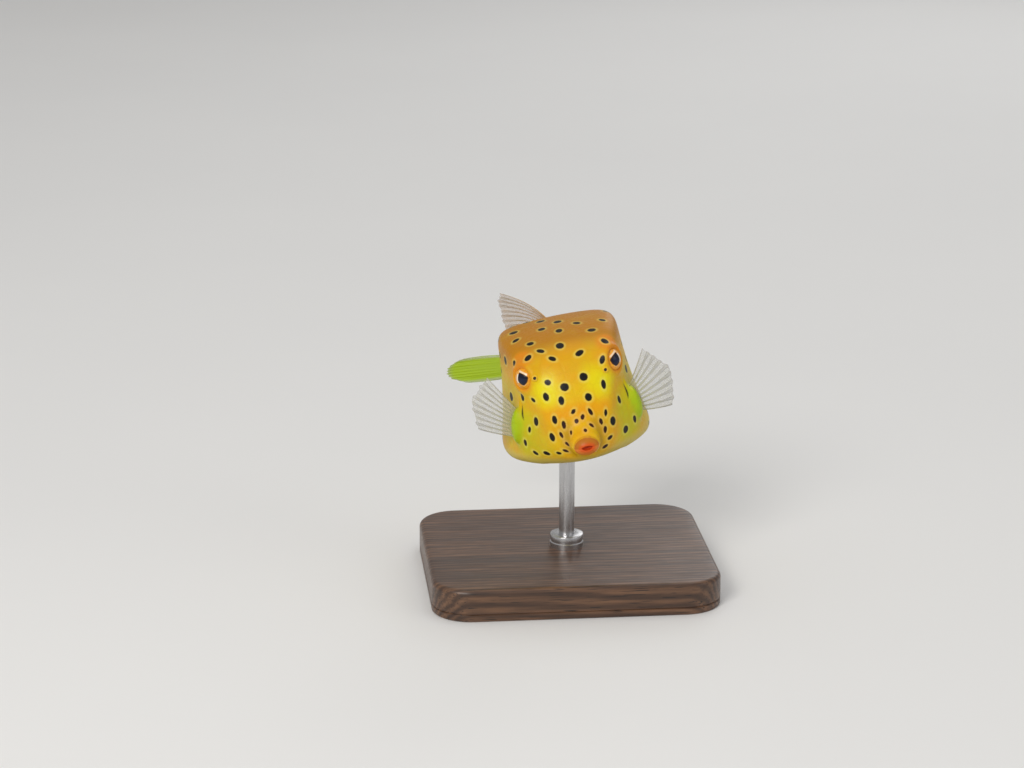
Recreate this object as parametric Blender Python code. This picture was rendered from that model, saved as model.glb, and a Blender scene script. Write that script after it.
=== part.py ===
"""Juvenile yellow boxfish, life size, held in a swimming pose on a plain stand.

Metres, +Z up. The fish faces -Y, its left side is +X, and the origin is the centre of
the stand's underside. The fish is shaped in millimetres in its own frame: x to its left,
y back from the lips, z up from mid-depth. The empty fish_pose places and banks it.
"""

import math

import bmesh
import bpy
import numpy as np
from mathutils import Matrix, Vector

MM = 0.001
GAP = 0.3

# Lofted sections of the rigid body, from the muzzle back: distance behind the lips, top,
# bottom, half width at the upper ridges, half width at the lower ridges, squareness.
SECTIONS = (
    (1.15, -3.75, -6.8, 1.9, 1.9, 2.0),
    (1.6, -3.4, -7.1, 2.1, 2.1, 2.0),
    (2.5, -3.0, -7.5, 2.3, 2.3, 2.0),
    (3.35, -2.0, -7.95, 2.8, 2.75, 2.05),
    (4.4, 1.0, -8.6, 4.8, 4.8, 2.5),
    (5.8, 4.2, -9.2, 5.9, 6.4, 3.1),
    (8.0, 7.0, -9.8, 6.9, 8.2, 4.8),
    (11.0, 8.5, -10.2, 8.0, 10.1, 8.0),
    (15.0, 9.2, -10.4, 8.8, 11.5, 12.0),
    (19.5, 9.3, -10.2, 9.2, 11.9, 13.0),
    (24.0, 8.7, -9.5, 8.7, 11.1, 9.5),
    (28.0, 6.8, -7.6, 7.1, 8.7, 5.4),
    (30.6, 4.2, -4.9, 4.6, 5.4, 3.0),
    (31.8, 2.4, -2.9, 2.3, 2.6, 2.2),
)
BACK_CROWN = 0.6
BELLY_CROWN = 0.7
FLANK_HOLLOW = 0.6
CROWN_DEPTHS = (4.0, 16.0)
RING_POINTS = 48
HEAD_POINTS = 68
HEAD_ROWS = 23
CARAPACE_ROWS = 11
NECK_CUT = 15.2

EYE_CENTRE = (6.12, 9.14, 4.42)
EYE_AXIS = (0.80, -0.58, 0.12)
EYE_RADIUS = 1.95
ORBIT_RADIUS = 2.55
ORBIT_SOFTNESS = 0.6
ORBIT_RIM = 1.4
RIM_SOFTNESS = 0.12

NOSTRIL_PLACE = (5.35, 6.6, 4.8)
NOSTRIL_AXIS = (0.55, -0.80, 0.22)
NOSTRIL_RADIUS = 0.36
NOSTRIL_FOOT = 0.58
NOSTRIL_PIT = 0.18
NOSTRIL_HEIGHT = 0.3

GILL_CENTRE = (7.9, 9.3, -2.0)
GILL_HALF = (0.9, 0.26, 1.7)
GILL_LEAN = 12.0

MOUTH_HEIGHT = -5.3
MOUTH_HALF_WIDTH = 1.75
LIP_BACK = 0.85
LIP_FRONT = -0.3
LIP_CORNER_FRONT = 0.55
LIP_THICKNESS = {"upper": 1.2, "lower": 1.05}
LIP_CORNER = 0.3
LIP_PARTING = 0.16
MOUTH_RECESS = (1.1, 1.3, 0.4)

PEDUNCLE_BEND = 84.0
PEDUNCLE_BEND_RADIUS = 3.4
PEDUNCLE_STRAIGHTS = (0.9, 3.5)
PEDUNCLE_HEIGHTS = (-0.35, -1.8)
PEDUNCLE_ROOT = (2.0, 2.35)
PEDUNCLE_END = (0.65, 1.85)

CAUDAL_GRID = (10, 7)
CAUDAL_DRAW = 9
CAUDAL_LENGTH = 10.6
CAUDAL_SIDE_LENGTH = 7.6
CAUDAL_ROOT_HALF = 1.7
CAUDAL_TIP_HALF = 2.0
CAUDAL_RISE = 0.9
CAUDAL_ROUNDING = 0.6
CAUDAL_BOW = (0.5, 0.45)

# Fins: rays with rows of points along them, and the draw that varies the rays' lengths.
# On the midline: where the first and last rays leave the body, their lengths, how far they
# lean over to the fish's right and how far they are swept back.
DORSAL_GRID = (9, 7)
DORSAL_DRAW = 3
DORSAL_BASE = (27.6, 30.6)
DORSAL_LENGTHS = (9.3, 6.8)
DORSAL_LEANS = (46.0, 70.0)
DORSAL_SWEEPS = (0.0, 34.0)

ANAL_GRID = (9, 7)
ANAL_DRAW = 4
ANAL_BASE = (27.4, 30.2)
ANAL_LENGTHS = (6.4, 4.8)
ANAL_LEANS = (24.0, 40.0)
ANAL_SWEEPS = (12.0, 52.0)

PECTORAL_HINGE = ((8.9, 11.0, -0.4), (9.7, 12.0, -5.2))
PECTORAL_GRID = (10, 6)
PECTORAL_DRAWS = {"left": 6, "right": 4}
PECTORAL_ANGLES = {"left": (58.0, -8.0), "right": (58.0, 20.0)}
PECTORAL_LENGTHS = {"left": (5.5, 6.8, 5.4), "right": (6.0, 7.5, 5.6)}
PECTORAL_SWEEP = 1.2
PECTORAL_BOW = 0.3
PECTORAL_SINK = 0.5
LOBE_CENTRE = (8.75, 11.15, -2.8)
LOBE_HALF = (1.3, 1.15, 3.0)
LOBE_LEAN = 10.0

# Lengths of the body that trim the fins' roots, as distances behind the lips.
FRONT_CUT = (4.4, 20.0)
REAR_CUT = (20.0, 31.8)
BELLY_CUT = (8.0, 28.0)

MEMBRANE = 0.5
MEMBRANE_TIP = 0.28
RAY_RIDGE = 0.3
RIDGE_TAPER = 0.8
RAY_SAMPLES = 4
ROOT_SINK = 0.9
ROOT_LEAN = 0.55
ROOT_BEND = 0.42
SCALLOP = 0.05
RAY_VARIATION = 0.03

BASE_WIDTH = 44.0
BASE_DEPTH = 38.0
BASE_HEIGHT = 5.0
BASE_CORNER = 6.0
BASE_BEVEL = 0.8
ROD_RADIUS = 1.2
COLLAR_RADIUS = 2.6
COLLAR_HEIGHT = 1.8
BANK = 10.8
FISH_HEIGHT = 31.5
ROD_STATION = 17.0
ROD_OVERLAP = 5.0

SKIN_YELLOW = (0.80, 0.46, 0.015, 1.0)
SKIN_OCHRE = (0.74, 0.38, 0.012, 1.0)
LIP_ORANGE = (0.75, 0.17, 0.03, 1.0)
LIP_PINK = (0.78, 0.32, 0.13, 1.0)
LOBE_LIME = (0.56, 0.62, 0.02, 1.0)
FIN_GREY = (0.62, 0.66, 0.50, 1.0)
EYE_NAVY = (0.02, 0.03, 0.09, 1.0)
WALNUT = (0.10, 0.055, 0.03, 1.0)
STEEL = (0.62, 0.62, 0.63, 1.0)


def clear_scene():
    for item in list(bpy.data.objects):
        bpy.data.objects.remove(item)


def make_material(name, colour, roughness, metallic=0.0):
    material = bpy.data.materials.new(name)
    material.use_nodes = True
    shader = material.node_tree.nodes["Principled BSDF"]
    shader.inputs["Base Color"].default_value = colour
    shader.inputs["Roughness"].default_value = roughness
    shader.inputs["Metallic"].default_value = metallic
    return material


def make_object(name, points, faces, material=None):
    """Make a mesh object from points in millimetres."""
    mesh = bpy.data.meshes.new(name)
    mesh.from_pydata([tuple(point) for point in np.asarray(points) * MM], [], faces)
    mesh.validate()
    if material:
        mesh.materials.append(material)
    item = bpy.data.objects.new(name, mesh)
    bpy.context.scene.collection.objects.link(item)
    return item


def shade(item, angle=35.0):
    item.data.shade_smooth()
    item.data.set_sharp_from_angle(angle=math.radians(angle))


def keep_largest_shell(mesh):
    """Drop every closed surface of a mesh but the one with the largest volume."""
    shape = bmesh.new()
    shape.from_mesh(mesh)
    unseen = set(shape.faces)
    shells = []
    while unseen:
        shell = []
        front = [unseen.pop()]
        while front:
            face = front.pop()
            shell.append(face)
            for edge in face.edges:
                for other in edge.link_faces:
                    if other in unseen:
                        unseen.remove(other)
                        front.append(other)
        shells.append(shell)
    shells.sort(key=shell_volume, reverse=True)
    scraps = [face for shell in shells[1:] for face in shell]
    bmesh.ops.delete(shape, geom=scraps, context="FACES")
    shape.to_mesh(mesh)
    shape.free()


def shell_volume(shell):
    total = 0.0
    for face in shell:
        corners = [vertex.co for vertex in face.verts]
        for second, third in zip(corners[1:], corners[2:]):
            total += corners[0].dot(second.cross(third))
    return total / 6


def apply_boolean(target, tools, operation):
    """Join or cut the target by a collection of closed tools, then remove the tools."""
    group = bpy.data.collections.new(target.name + "_tools")
    bpy.context.scene.collection.children.link(group)
    for tool in tools:
        bpy.context.scene.collection.objects.unlink(tool)
        group.objects.link(tool)
    modifier = target.modifiers.new("joint", "BOOLEAN")
    modifier.operation = operation
    modifier.solver = "EXACT"
    modifier.operand_type = "COLLECTION"
    modifier.collection = group
    graph = bpy.context.evaluated_depsgraph_get()
    result = bpy.data.meshes.new_from_object(target.evaluated_get(graph))
    target.modifiers.clear()
    target.data = result
    keep_largest_shell(target.data)
    for tool in list(group.objects):
        bpy.data.objects.remove(tool)
    bpy.data.collections.remove(group)


def loft(name, rings, material=None):
    """Skin closed rings of equal count, with a fan of triangles over each end."""
    count = len(rings[0])
    points = [point for ring in rings for point in ring]
    faces = []
    for row in range(len(rings) - 1):
        for column in range(count):
            following = (column + 1) % count
            low = row * count
            high = low + count
            faces.append((low + column, low + following, high + following, high + column))
    last = (len(rings) - 1) * count
    points.append(np.mean(rings[0], axis=0))
    points.append(np.mean(rings[-1], axis=0))
    for column in range(count):
        following = (column + 1) % count
        faces.append((len(points) - 2, following, column))
        faces.append((len(points) - 1, last + column, last + following))
    item = make_object(name, points, faces, material)
    face_outward(item.data)
    return item


def face_outward(mesh):
    shape = bmesh.new()
    shape.from_mesh(mesh)
    bmesh.ops.recalc_face_normals(shape, faces=shape.faces)
    shape.to_mesh(mesh)
    shape.free()


def ellipsoid(name, centre, half_sizes, rotation=None, segments=16, rings=10, material=None):
    """Make a closed ellipsoid; centre and half sizes in millimetres."""
    turn = rotation or Matrix.Identity(3)
    placing = Matrix.Translation(Vector(centre) * MM) @ turn.to_4x4()
    stretch = Matrix.Diagonal((*[size * MM for size in half_sizes], 1.0))
    shape = bmesh.new()
    bmesh.ops.create_uvsphere(shape, u_segments=segments, v_segments=rings, radius=1.0,
                              matrix=placing @ stretch)
    bmesh.ops.recalc_face_normals(shape, faces=shape.faces)
    mesh = bpy.data.meshes.new(name)
    shape.to_mesh(mesh)
    shape.free()
    if material:
        mesh.materials.append(material)
    item = bpy.data.objects.new(name, mesh)
    bpy.context.scene.collection.objects.link(item)
    return item


def cylinder(name, start, end, radius, segments=12, end_radius=None):
    """Make a closed cylinder or cone between two points in millimetres."""
    first = Vector(start) * MM
    axis = Vector(end) * MM - first
    turn = axis.to_track_quat("Z", "Y").to_matrix().to_4x4()
    placing = Matrix.Translation(first + axis / 2) @ turn
    shape = bmesh.new()
    tip = radius if end_radius is None else end_radius
    bmesh.ops.create_cone(shape, cap_ends=True, segments=segments, radius1=radius * MM,
                          radius2=tip * MM, depth=axis.length, matrix=placing)
    mesh = bpy.data.meshes.new(name)
    shape.to_mesh(mesh)
    shape.free()
    item = bpy.data.objects.new(name, mesh)
    bpy.context.scene.collection.objects.link(item)
    return item


def mirrored(values, side):
    return (values[0] * side, *values[1:])


def section_at(station):
    """Read a smooth section between the listed ones; a station counts along the list."""
    rows = np.array(SECTIONS)
    index = int(np.clip(math.floor(station), 0, len(rows) - 2))
    part = station - index
    before = rows[max(index - 1, 0)]
    start = rows[index]
    end = rows[index + 1]
    after = rows[min(index + 2, len(rows) - 1)]
    first_slope = (end - before) / (2 if index > 0 else 1)
    last_slope = (after - start) / (2 if index < len(rows) - 2 else 1)
    return (start * (1 + 2 * part) * (1 - part) ** 2 + first_slope * part * (1 - part) ** 2
            + end * part ** 2 * (3 - 2 * part) + last_slope * part ** 2 * (part - 1))


def station_behind(distance):
    """Find the station that lies a distance behind the lips."""
    stations = np.linspace(0, len(SECTIONS) - 1, 400)
    return float(np.interp(distance, [section_at(s)[0] for s in stations], stations))


def body_ring(station, grow=0.0, count=RING_POINTS):
    """Trace one section: four ridges, crowned back and belly, hollow flanks."""
    distance, top, bottom, upper, lower, square = section_at(station)
    size = np.clip((top - bottom - CROWN_DEPTHS[0]) / (CROWN_DEPTHS[1] - CROWN_DEPTHS[0]), 0, 1)
    back = BACK_CROWN * size
    belly = BELLY_CROWN * size
    high = top - back + grow
    low = bottom + belly - grow
    turn = np.linspace(-math.pi / 2, 1.5 * math.pi, 721)
    across = np.sign(np.cos(turn)) * np.abs(np.cos(turn)) ** (2 / square)
    along = np.sign(np.sin(turn)) * np.abs(np.sin(turn)) ** (2 / square)
    width = lower + (upper - lower) * (along + 1) / 2 - FLANK_HOLLOW * size * (1 - along ** 2)
    crown = np.where(along > 0, back, -belly) * (1 - across ** 2) * np.abs(along)
    x = across * (width + grow)
    z = (high + low) / 2 + (high - low) / 2 * along + crown
    travel = np.concatenate(([0.0], np.cumsum(np.hypot(np.diff(x), np.diff(z)))))
    spread = travel / travel[-1] + np.linspace(0, 1, len(turn))
    wanted = np.linspace(0, 2, count + 1)[:-1]
    ring = np.column_stack((np.interp(wanted, spread, x), np.full(count, distance),
                            np.interp(wanted, spread, z)))
    return raise_orbits(ring, grow)


def soft_excess(value, softness):
    """Zero below nought and the value itself above it, with a soft bend between."""
    return softness * np.logaddexp(0.0, value / softness)


def raise_orbits(points, grow=0.0):
    """Swell the skin to a dome round each eye, and level the dome at the eye's rim."""
    for side in (1, -1):
        axis = np.array(eye_direction(side))
        centre = np.array(mirrored(EYE_CENTRE, side))
        offset = points - centre
        reach = np.linalg.norm(offset, axis=1, keepdims=True)
        radius = ORBIT_RADIUS + grow
        swollen = offset / reach * (radius + soft_excess(reach - radius, ORBIT_SOFTNESS))
        above = soft_excess(swollen @ axis - ORBIT_RIM - grow, RIM_SOFTNESS)
        near = np.linalg.norm(swollen, axis=1) < 2 * radius
        points = centre + swollen - np.outer(above * near, axis)
    return points


def body_length(name, start, end, rows, material=None, grow=0.0, count=RING_POINTS):
    """Loft the body between two distances behind the lips."""
    stations = np.linspace(station_behind(start), station_behind(end), rows)
    return loft(name, [body_ring(station, grow, count) for station in stations], material)


def eye_direction(side):
    return Vector(mirrored(EYE_AXIS, side)).normalized()


def make_head(material):
    """Forehead and cheeks, the eyes' sockets, nostrils, gill slits and the mouth's inside."""
    head = body_length("head", SECTIONS[0][0], NECK_CUT - GAP / 2, HEAD_ROWS, material,
                       count=HEAD_POINTS)
    raised = []
    cuts = []
    for side in (1, -1):
        place = Vector(mirrored(NOSTRIL_PLACE, side))
        axis = Vector(mirrored(NOSTRIL_AXIS, side)).normalized()
        raised.append(cylinder("nostril", place - axis, place + axis * NOSTRIL_HEIGHT,
                               NOSTRIL_FOOT, end_radius=NOSTRIL_RADIUS))
        cuts.append(cylinder("nostril_pit", place - axis * NOSTRIL_HEIGHT, place + axis,
                             NOSTRIL_PIT, 8))
        socket = EYE_RADIUS + GAP
        centre = Vector(mirrored(EYE_CENTRE, side))
        turn = eye_direction(side).to_track_quat("Z", "Y").to_matrix()
        cuts.append(ellipsoid("socket", centre, (socket,) * 3, turn, 20, 12))
        opening = math.sqrt(socket ** 2 - ORBIT_RIM ** 2)
        cuts.append(cylinder("lids", centre, centre + eye_direction(side) * 2 * socket,
                             opening, 20))
        lean = Matrix.Rotation(math.radians(GILL_LEAN), 3, "X")
        cuts.append(ellipsoid("gill", mirrored(GILL_CENTRE, side), GILL_HALF, lean, 12, 8))
    cuts.append(ellipsoid("throat", (0, SECTIONS[0][0], MOUTH_HEIGHT), MOUTH_RECESS))
    apply_boolean(head, raised, "UNION")
    apply_boolean(head, cuts, "DIFFERENCE")
    return head


def make_carapace(material):
    """The rest of the rigid box, to the rim that the tail leaves by."""
    return body_length("carapace", NECK_CUT + GAP / 2, SECTIONS[-1][0], CARAPACE_ROWS, material)


def make_eye(side, material):
    name = "eye_left" if side > 0 else "eye_right"
    turn = eye_direction(side).to_track_quat("Z", "Y").to_matrix()
    return ellipsoid(name, mirrored(EYE_CENTRE, side), (EYE_RADIUS,) * 3, turn, 20, 12, material)


def make_lip(which, material):
    """One fleshy lip, a crescent that wraps back to the corners of the mouth."""
    up = 1 if which == "upper" else -1
    rings = []
    for part in np.linspace(0.03, 0.97, 15):
        swell = math.sin(math.pi * part)
        thick = LIP_CORNER + (LIP_THICKNESS[which] - LIP_CORNER) * swell ** 0.7
        front = LIP_CORNER_FRONT + (LIP_FRONT - LIP_CORNER_FRONT) * swell ** 0.9
        centre = (-MOUTH_HALF_WIDTH * math.cos(math.pi * part),
                  (LIP_BACK + front) / 2,
                  MOUTH_HEIGHT + up * (LIP_PARTING + thick / 2))
        ring = []
        for angle in np.linspace(0, 2 * math.pi, 14, endpoint=False):
            ring.append((centre[0],
                         centre[1] + (LIP_BACK - front) / 2 * math.cos(angle),
                         centre[2] + thick / 2 * math.sin(angle)))
        rings.append(ring)
    return loft(which + "_lip", rings, material)


def peduncle_path(part):
    """Follow the tail root: straight, a strong bend to the fish's right, straight."""
    arc = math.radians(PEDUNCLE_BEND) * PEDUNCLE_BEND_RADIUS
    before, after = PEDUNCLE_STRAIGHTS
    travel = part * (before + arc + after)
    turned = np.clip((travel - before) / PEDUNCLE_BEND_RADIUS, 0, math.radians(PEDUNCLE_BEND))
    beyond = max(travel - before - arc, 0.0)
    x = -PEDUNCLE_BEND_RADIUS * (1 - math.cos(turned)) - beyond * math.sin(turned)
    y = (SECTIONS[-1][0] + GAP + min(travel, before)
         + PEDUNCLE_BEND_RADIUS * math.sin(turned) + beyond * math.cos(turned))
    start, end = PEDUNCLE_HEIGHTS
    z = start + (end - start) * part ** 2 * (3 - 2 * part)
    heading = np.array((-math.sin(turned), math.cos(turned), 0.0))
    return np.array((x, y, z)), heading


def make_peduncle(material):
    rings = []
    for part in np.linspace(0, 1, 15):
        centre, heading = peduncle_path(part)
        sideways = np.array((heading[1], -heading[0], 0.0))
        ease = part ** 0.8
        half_width = PEDUNCLE_ROOT[0] + (PEDUNCLE_END[0] - PEDUNCLE_ROOT[0]) * ease
        half_height = PEDUNCLE_ROOT[1] + (PEDUNCLE_END[1] - PEDUNCLE_ROOT[1]) * ease
        ring = []
        for angle in np.linspace(0, 2 * math.pi, 24, endpoint=False):
            ring.append(centre + sideways * half_width * math.cos(angle)
                        + np.array((0, 0, half_height * math.sin(angle))))
        rings.append(ring)
    return loft("caudal_peduncle", rings, material)


def bezier(root, control, tip, part):
    return root * (1 - part) ** 2 + control * 2 * part * (1 - part) + tip * part ** 2


def fan(name, ray_at, grid, draw, material):
    """Make a fin: a membrane whose surface swells over each ray, alike on both faces.

    ray_at(f) gives the root, bend and tip of the ray at f, from 0 at the leading ray to 1.
    """
    rays, rows = grid
    columns = (rays - 1) * RAY_SAMPLES + 1
    lengths = 1 + RAY_VARIATION * np.random.default_rng(draw).uniform(-1, 1, rays)
    middle = np.empty((columns, rows, 3))
    half = np.empty((columns, rows))
    for column in range(columns):
        place = column / RAY_SAMPLES
        on_ray = 0.5 + 0.5 * math.cos(2 * math.pi * place)
        root, control, tip = [np.array(point, float) for point in ray_at(place / (rays - 1))]
        reach = np.interp(place, range(rays), lengths) * (1 - SCALLOP * (1 - on_ray))
        tip = root + (tip - root) * reach
        for row in range(rows):
            part = row / (rows - 1)
            middle[column, row] = bezier(root, control, tip, part)
            membrane = MEMBRANE + (MEMBRANE_TIP - MEMBRANE) * part
            ridge = RAY_RIDGE * on_ray * (1 - RIDGE_TAPER * part)
            half[column, row] = (membrane + ridge) / 2
    normal = np.cross(np.gradient(middle, axis=0), np.gradient(middle, axis=1))
    normal /= np.linalg.norm(normal, axis=2, keepdims=True)
    front = middle + normal * half[..., None]
    rear = middle - normal * half[..., None]
    points = np.concatenate((front.reshape(-1, 3), rear.reshape(-1, 3)))
    return make_object(name, points, sheet_faces(columns, rows), material)


def sheet_faces(columns, rows):
    """Triangulate the two faces of a sheet alike, and close its edge."""
    count = columns * rows
    faces = []
    for column in range(columns - 1):
        for row in range(rows - 1):
            corner = column * rows + row
            square = (corner, corner + rows, corner + rows + 1, corner + 1)
            for triangle in ((0, 1, 2), (0, 2, 3)):
                front = tuple(square[index] for index in triangle)
                faces.append(front)
                faces.append(tuple(index + count for index in reversed(front)))
    edge = [column * rows for column in range(columns)]
    edge += [(columns - 1) * rows + row for row in range(1, rows)]
    edge += [column * rows + rows - 1 for column in range(columns - 2, -1, -1)]
    edge += [row for row in range(rows - 2, 0, -1)]
    for start, end in zip(edge, edge[1:] + edge[:1]):
        faces.append((end, start, start + count))
        faces.append((end, start + count, end + count))
    return faces


def blend(pair, part):
    return pair[0] + (pair[1] - pair[0]) * part


def back_height(distance, up):
    """Height of the body's midline, on the back (up = 1) or belly (up = -1)."""
    section = section_at(station_behind(distance))
    return section[1] if up > 0 else section[2]


def midline_ray(base, lengths, leans, sweeps, up):
    """Rays of a fin on the midline, bent over to the fish's right and swept back."""
    def ray_at(part):
        distance = blend(base, part)
        lean = math.radians(blend(leans, part))
        sweep = math.radians(blend(sweeps, part))
        length = blend(lengths, part)
        root = np.array((0.0, distance, back_height(distance, up)))
        rise = np.array((0.0, math.sin(sweep), up * math.cos(sweep)))
        over = np.array((-math.sin(lean), math.cos(lean) * math.sin(sweep),
                         up * math.cos(lean) * math.cos(sweep)))
        root -= rise * ROOT_SINK
        tip = root + over * (length + ROOT_SINK)
        first = rise * math.cos(lean * ROOT_LEAN) - np.array((math.sin(lean * ROOT_LEAN), 0, 0))
        control = root + first * (ROOT_SINK + ROOT_BEND * length)
        return root, control, tip
    return ray_at


def cut_by_body(item, start, end):
    """Trim what reaches into the body, to a constant gap off its surface."""
    cutter = body_length("body_cutter", start, end, 15, grow=GAP)
    apply_boolean(item, [cutter], "DIFFERENCE")


def make_dorsal_fin(material):
    ray_at = midline_ray(DORSAL_BASE, DORSAL_LENGTHS, DORSAL_LEANS, DORSAL_SWEEPS, 1)
    fin = fan("dorsal_fin", ray_at, DORSAL_GRID, DORSAL_DRAW, material)
    cut_by_body(fin, *REAR_CUT)
    return fin


def make_anal_fin(material):
    ray_at = midline_ray(ANAL_BASE, ANAL_LENGTHS, ANAL_LEANS, ANAL_SWEEPS, -1)
    fin = fan("anal_fin", ray_at, ANAL_GRID, ANAL_DRAW, material)
    cut_by_body(fin, *REAR_CUT)
    return fin


def pectoral_ray(side):
    """Rays of a pectoral fin, flared outward and upward from its fleshy lobe."""
    word = "left" if side > 0 else "right"
    angles = PECTORAL_ANGLES[word]
    lengths = PECTORAL_LENGTHS[word]

    def ray_at(part):
        upper, lower = np.array(PECTORAL_HINGE)
        hinge = upper + (lower - upper) * part
        angle = math.radians(blend(angles, part))
        length = np.interp(part, (0, 0.5, 1), lengths)
        reach = np.array((math.cos(angle), 0.0, math.sin(angle)))
        root = hinge - reach * PECTORAL_SINK
        tip = hinge + reach * length + np.array((0.0, PECTORAL_SWEEP, 0.0))
        control = hinge + reach * length / 2 - np.array((0.0, PECTORAL_BOW, 0.0))
        flip = np.array((side, 1.0, 1.0))
        return root * flip, control * flip, tip * flip
    return ray_at


def make_pectoral_fin(side, material):
    word = "left" if side > 0 else "right"
    fin = fan("pectoral_fin_" + word, pectoral_ray(side), PECTORAL_GRID, PECTORAL_DRAWS[word],
              material)
    face_outward(fin.data)
    lean = Matrix.Rotation(math.radians(LOBE_LEAN), 3, "X")
    lean = Matrix.Rotation(math.radians(-LOBE_LEAN * side), 3, "Y") @ lean
    lobe = ellipsoid("lobe", mirrored(LOBE_CENTRE, side), LOBE_HALF, lean, 16, 12)
    apply_boolean(fin, [lobe], "UNION")
    cut_by_body(fin, *FRONT_CUT)
    return fin


def caudal_ray(part):
    """Rays of the closed caudal fin, a paddle that tapers to a round tip."""
    centre, heading = peduncle_path(1.0)
    centre = centre + heading * GAP
    across = 1 - 2 * part
    longer = (CAUDAL_LENGTH - CAUDAL_SIDE_LENGTH) * (1 - across ** 2) ** CAUDAL_ROUNDING
    length = CAUDAL_SIDE_LENGTH + longer
    root = centre + np.array((0, 0, CAUDAL_ROOT_HALF * across))
    tip = (centre + heading * length
           + np.array((0, 0, CAUDAL_TIP_HALF * across + CAUDAL_RISE * length / CAUDAL_LENGTH)))
    control = (root + tip) / 2 + np.array((0, CAUDAL_BOW[0], CAUDAL_BOW[1] * across))
    return root, control, tip


def make_stand(wood, steel):
    """A flat plinth, a collar and one rod that ends just under the belly."""
    base = make_plinth(wood)
    collar_foot = BASE_HEIGHT + GAP
    collar = cylinder("stand_collar", (0, 0, collar_foot), (0, 0, collar_foot + COLLAR_HEIGHT),
                      COLLAR_RADIUS, 32)
    socket = cylinder("collar_bore", (0, 0, collar_foot - 1),
                      (0, 0, collar_foot + COLLAR_HEIGHT + 1), ROD_RADIUS + GAP, 24)
    apply_boolean(collar, [socket], "DIFFERENCE")
    collar.data.materials.append(steel)
    rod = cylinder("stand_rod", (0, 0, BASE_HEIGHT + GAP), (0, 0, FISH_HEIGHT - ROD_OVERLAP),
                   ROD_RADIUS, 24)
    rod.data.materials.append(steel)
    return base, collar, rod


def make_plinth(material):
    """A block with round corners and a bevelled upper edge."""
    outline = []
    for quarter in range(4):
        sign_x = 1 if quarter in (0, 3) else -1
        sign_y = 1 if quarter in (0, 1) else -1
        centre = (sign_x * (BASE_WIDTH / 2 - BASE_CORNER), sign_y * (BASE_DEPTH / 2 - BASE_CORNER))
        for step in range(7):
            angle = math.radians(90 * quarter + 15 * step)
            outline.append((centre[0], centre[1], math.cos(angle), math.sin(angle)))
    rings = []
    for radius, height in ((BASE_CORNER, 0.0), (BASE_CORNER, BASE_HEIGHT - BASE_BEVEL),
                           (BASE_CORNER - BASE_BEVEL * 0.3, BASE_HEIGHT - BASE_BEVEL * 0.3),
                           (BASE_CORNER - BASE_BEVEL, BASE_HEIGHT)):
        rings.append([(x + radius * cosine, y + radius * sine, height)
                      for x, y, cosine, sine in outline])
    return loft("stand_base", rings, material)


def place_fish(pieces):
    """Hold the fish over the stand, banked to its right."""
    pose = bpy.data.objects.new("fish_pose", None)
    bpy.context.scene.collection.objects.link(pose)
    bank = math.radians(BANK)
    pose.rotation_euler = (0.0, -bank, 0.0)
    pose.location = Vector((0.0, -ROD_STATION, FISH_HEIGHT)) * MM
    for piece in pieces:
        piece.parent = pose


def trim_rod(rod):
    """Cut the rod's top to the belly, which it carries, with the usual gap."""
    cutter = body_length("belly_cutter", *BELLY_CUT, 21, grow=GAP)
    bank = Matrix.Rotation(math.radians(-BANK), 4, "Y")
    shift = Matrix.Translation(Vector((0.0, -ROD_STATION, FISH_HEIGHT)) * MM)
    cutter.data.transform(shift @ bank)
    apply_boolean(rod, [cutter], "DIFFERENCE")


def build():
    clear_scene()
    face = make_material("skin_yellow", SKIN_YELLOW, 0.42)
    shell = make_material("skin_ochre", SKIN_OCHRE, 0.42)
    lime = make_material("skin_lime", LOBE_LIME, 0.4)
    fin = make_material("fin_clear_grey", FIN_GREY, 0.3)
    eye = make_material("eye_navy", EYE_NAVY, 0.08)
    pieces = [make_head(face), make_carapace(shell)]
    pieces.append(make_lip("upper", make_material("lip_orange", LIP_ORANGE, 0.35)))
    pieces.append(make_lip("lower", make_material("lip_pink", LIP_PINK, 0.35)))
    for side in (1, -1):
        pieces.append(make_eye(side, eye))
        pieces.append(make_pectoral_fin(side, fin))
    pieces.append(make_peduncle(lime))
    pieces.append(make_dorsal_fin(fin))
    pieces.append(make_anal_fin(fin))
    pieces.append(fan("caudal_fin", caudal_ray, CAUDAL_GRID, CAUDAL_DRAW, lime))
    for piece in pieces:
        shade(piece)
    place_fish(pieces)
    wood = make_material("stand_walnut", WALNUT, 0.45)
    steel = make_material("stand_steel", STEEL, 0.28, 1.0)
    base, collar, rod = make_stand(wood, steel)
    trim_rod(rod)
    for piece in (base, collar, rod):
        shade(piece)


build()
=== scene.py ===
"""Looks of a juvenile yellow boxfish, life size, in a banked swimming pose on a plain stand.

The fish is shaped in millimetres in its own frame: x to its left, y back from the lips and
z up from mid-depth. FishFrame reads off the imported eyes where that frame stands, and places
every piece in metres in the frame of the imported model.
"""

import logging
import math
from dataclasses import dataclass, field
from enum import Enum
from functools import cached_property
from typing import Callable

import bmesh
import bpy
import numpy as np
from mathutils import Matrix, Vector
from mathutils.bvhtree import BVHTree


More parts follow.
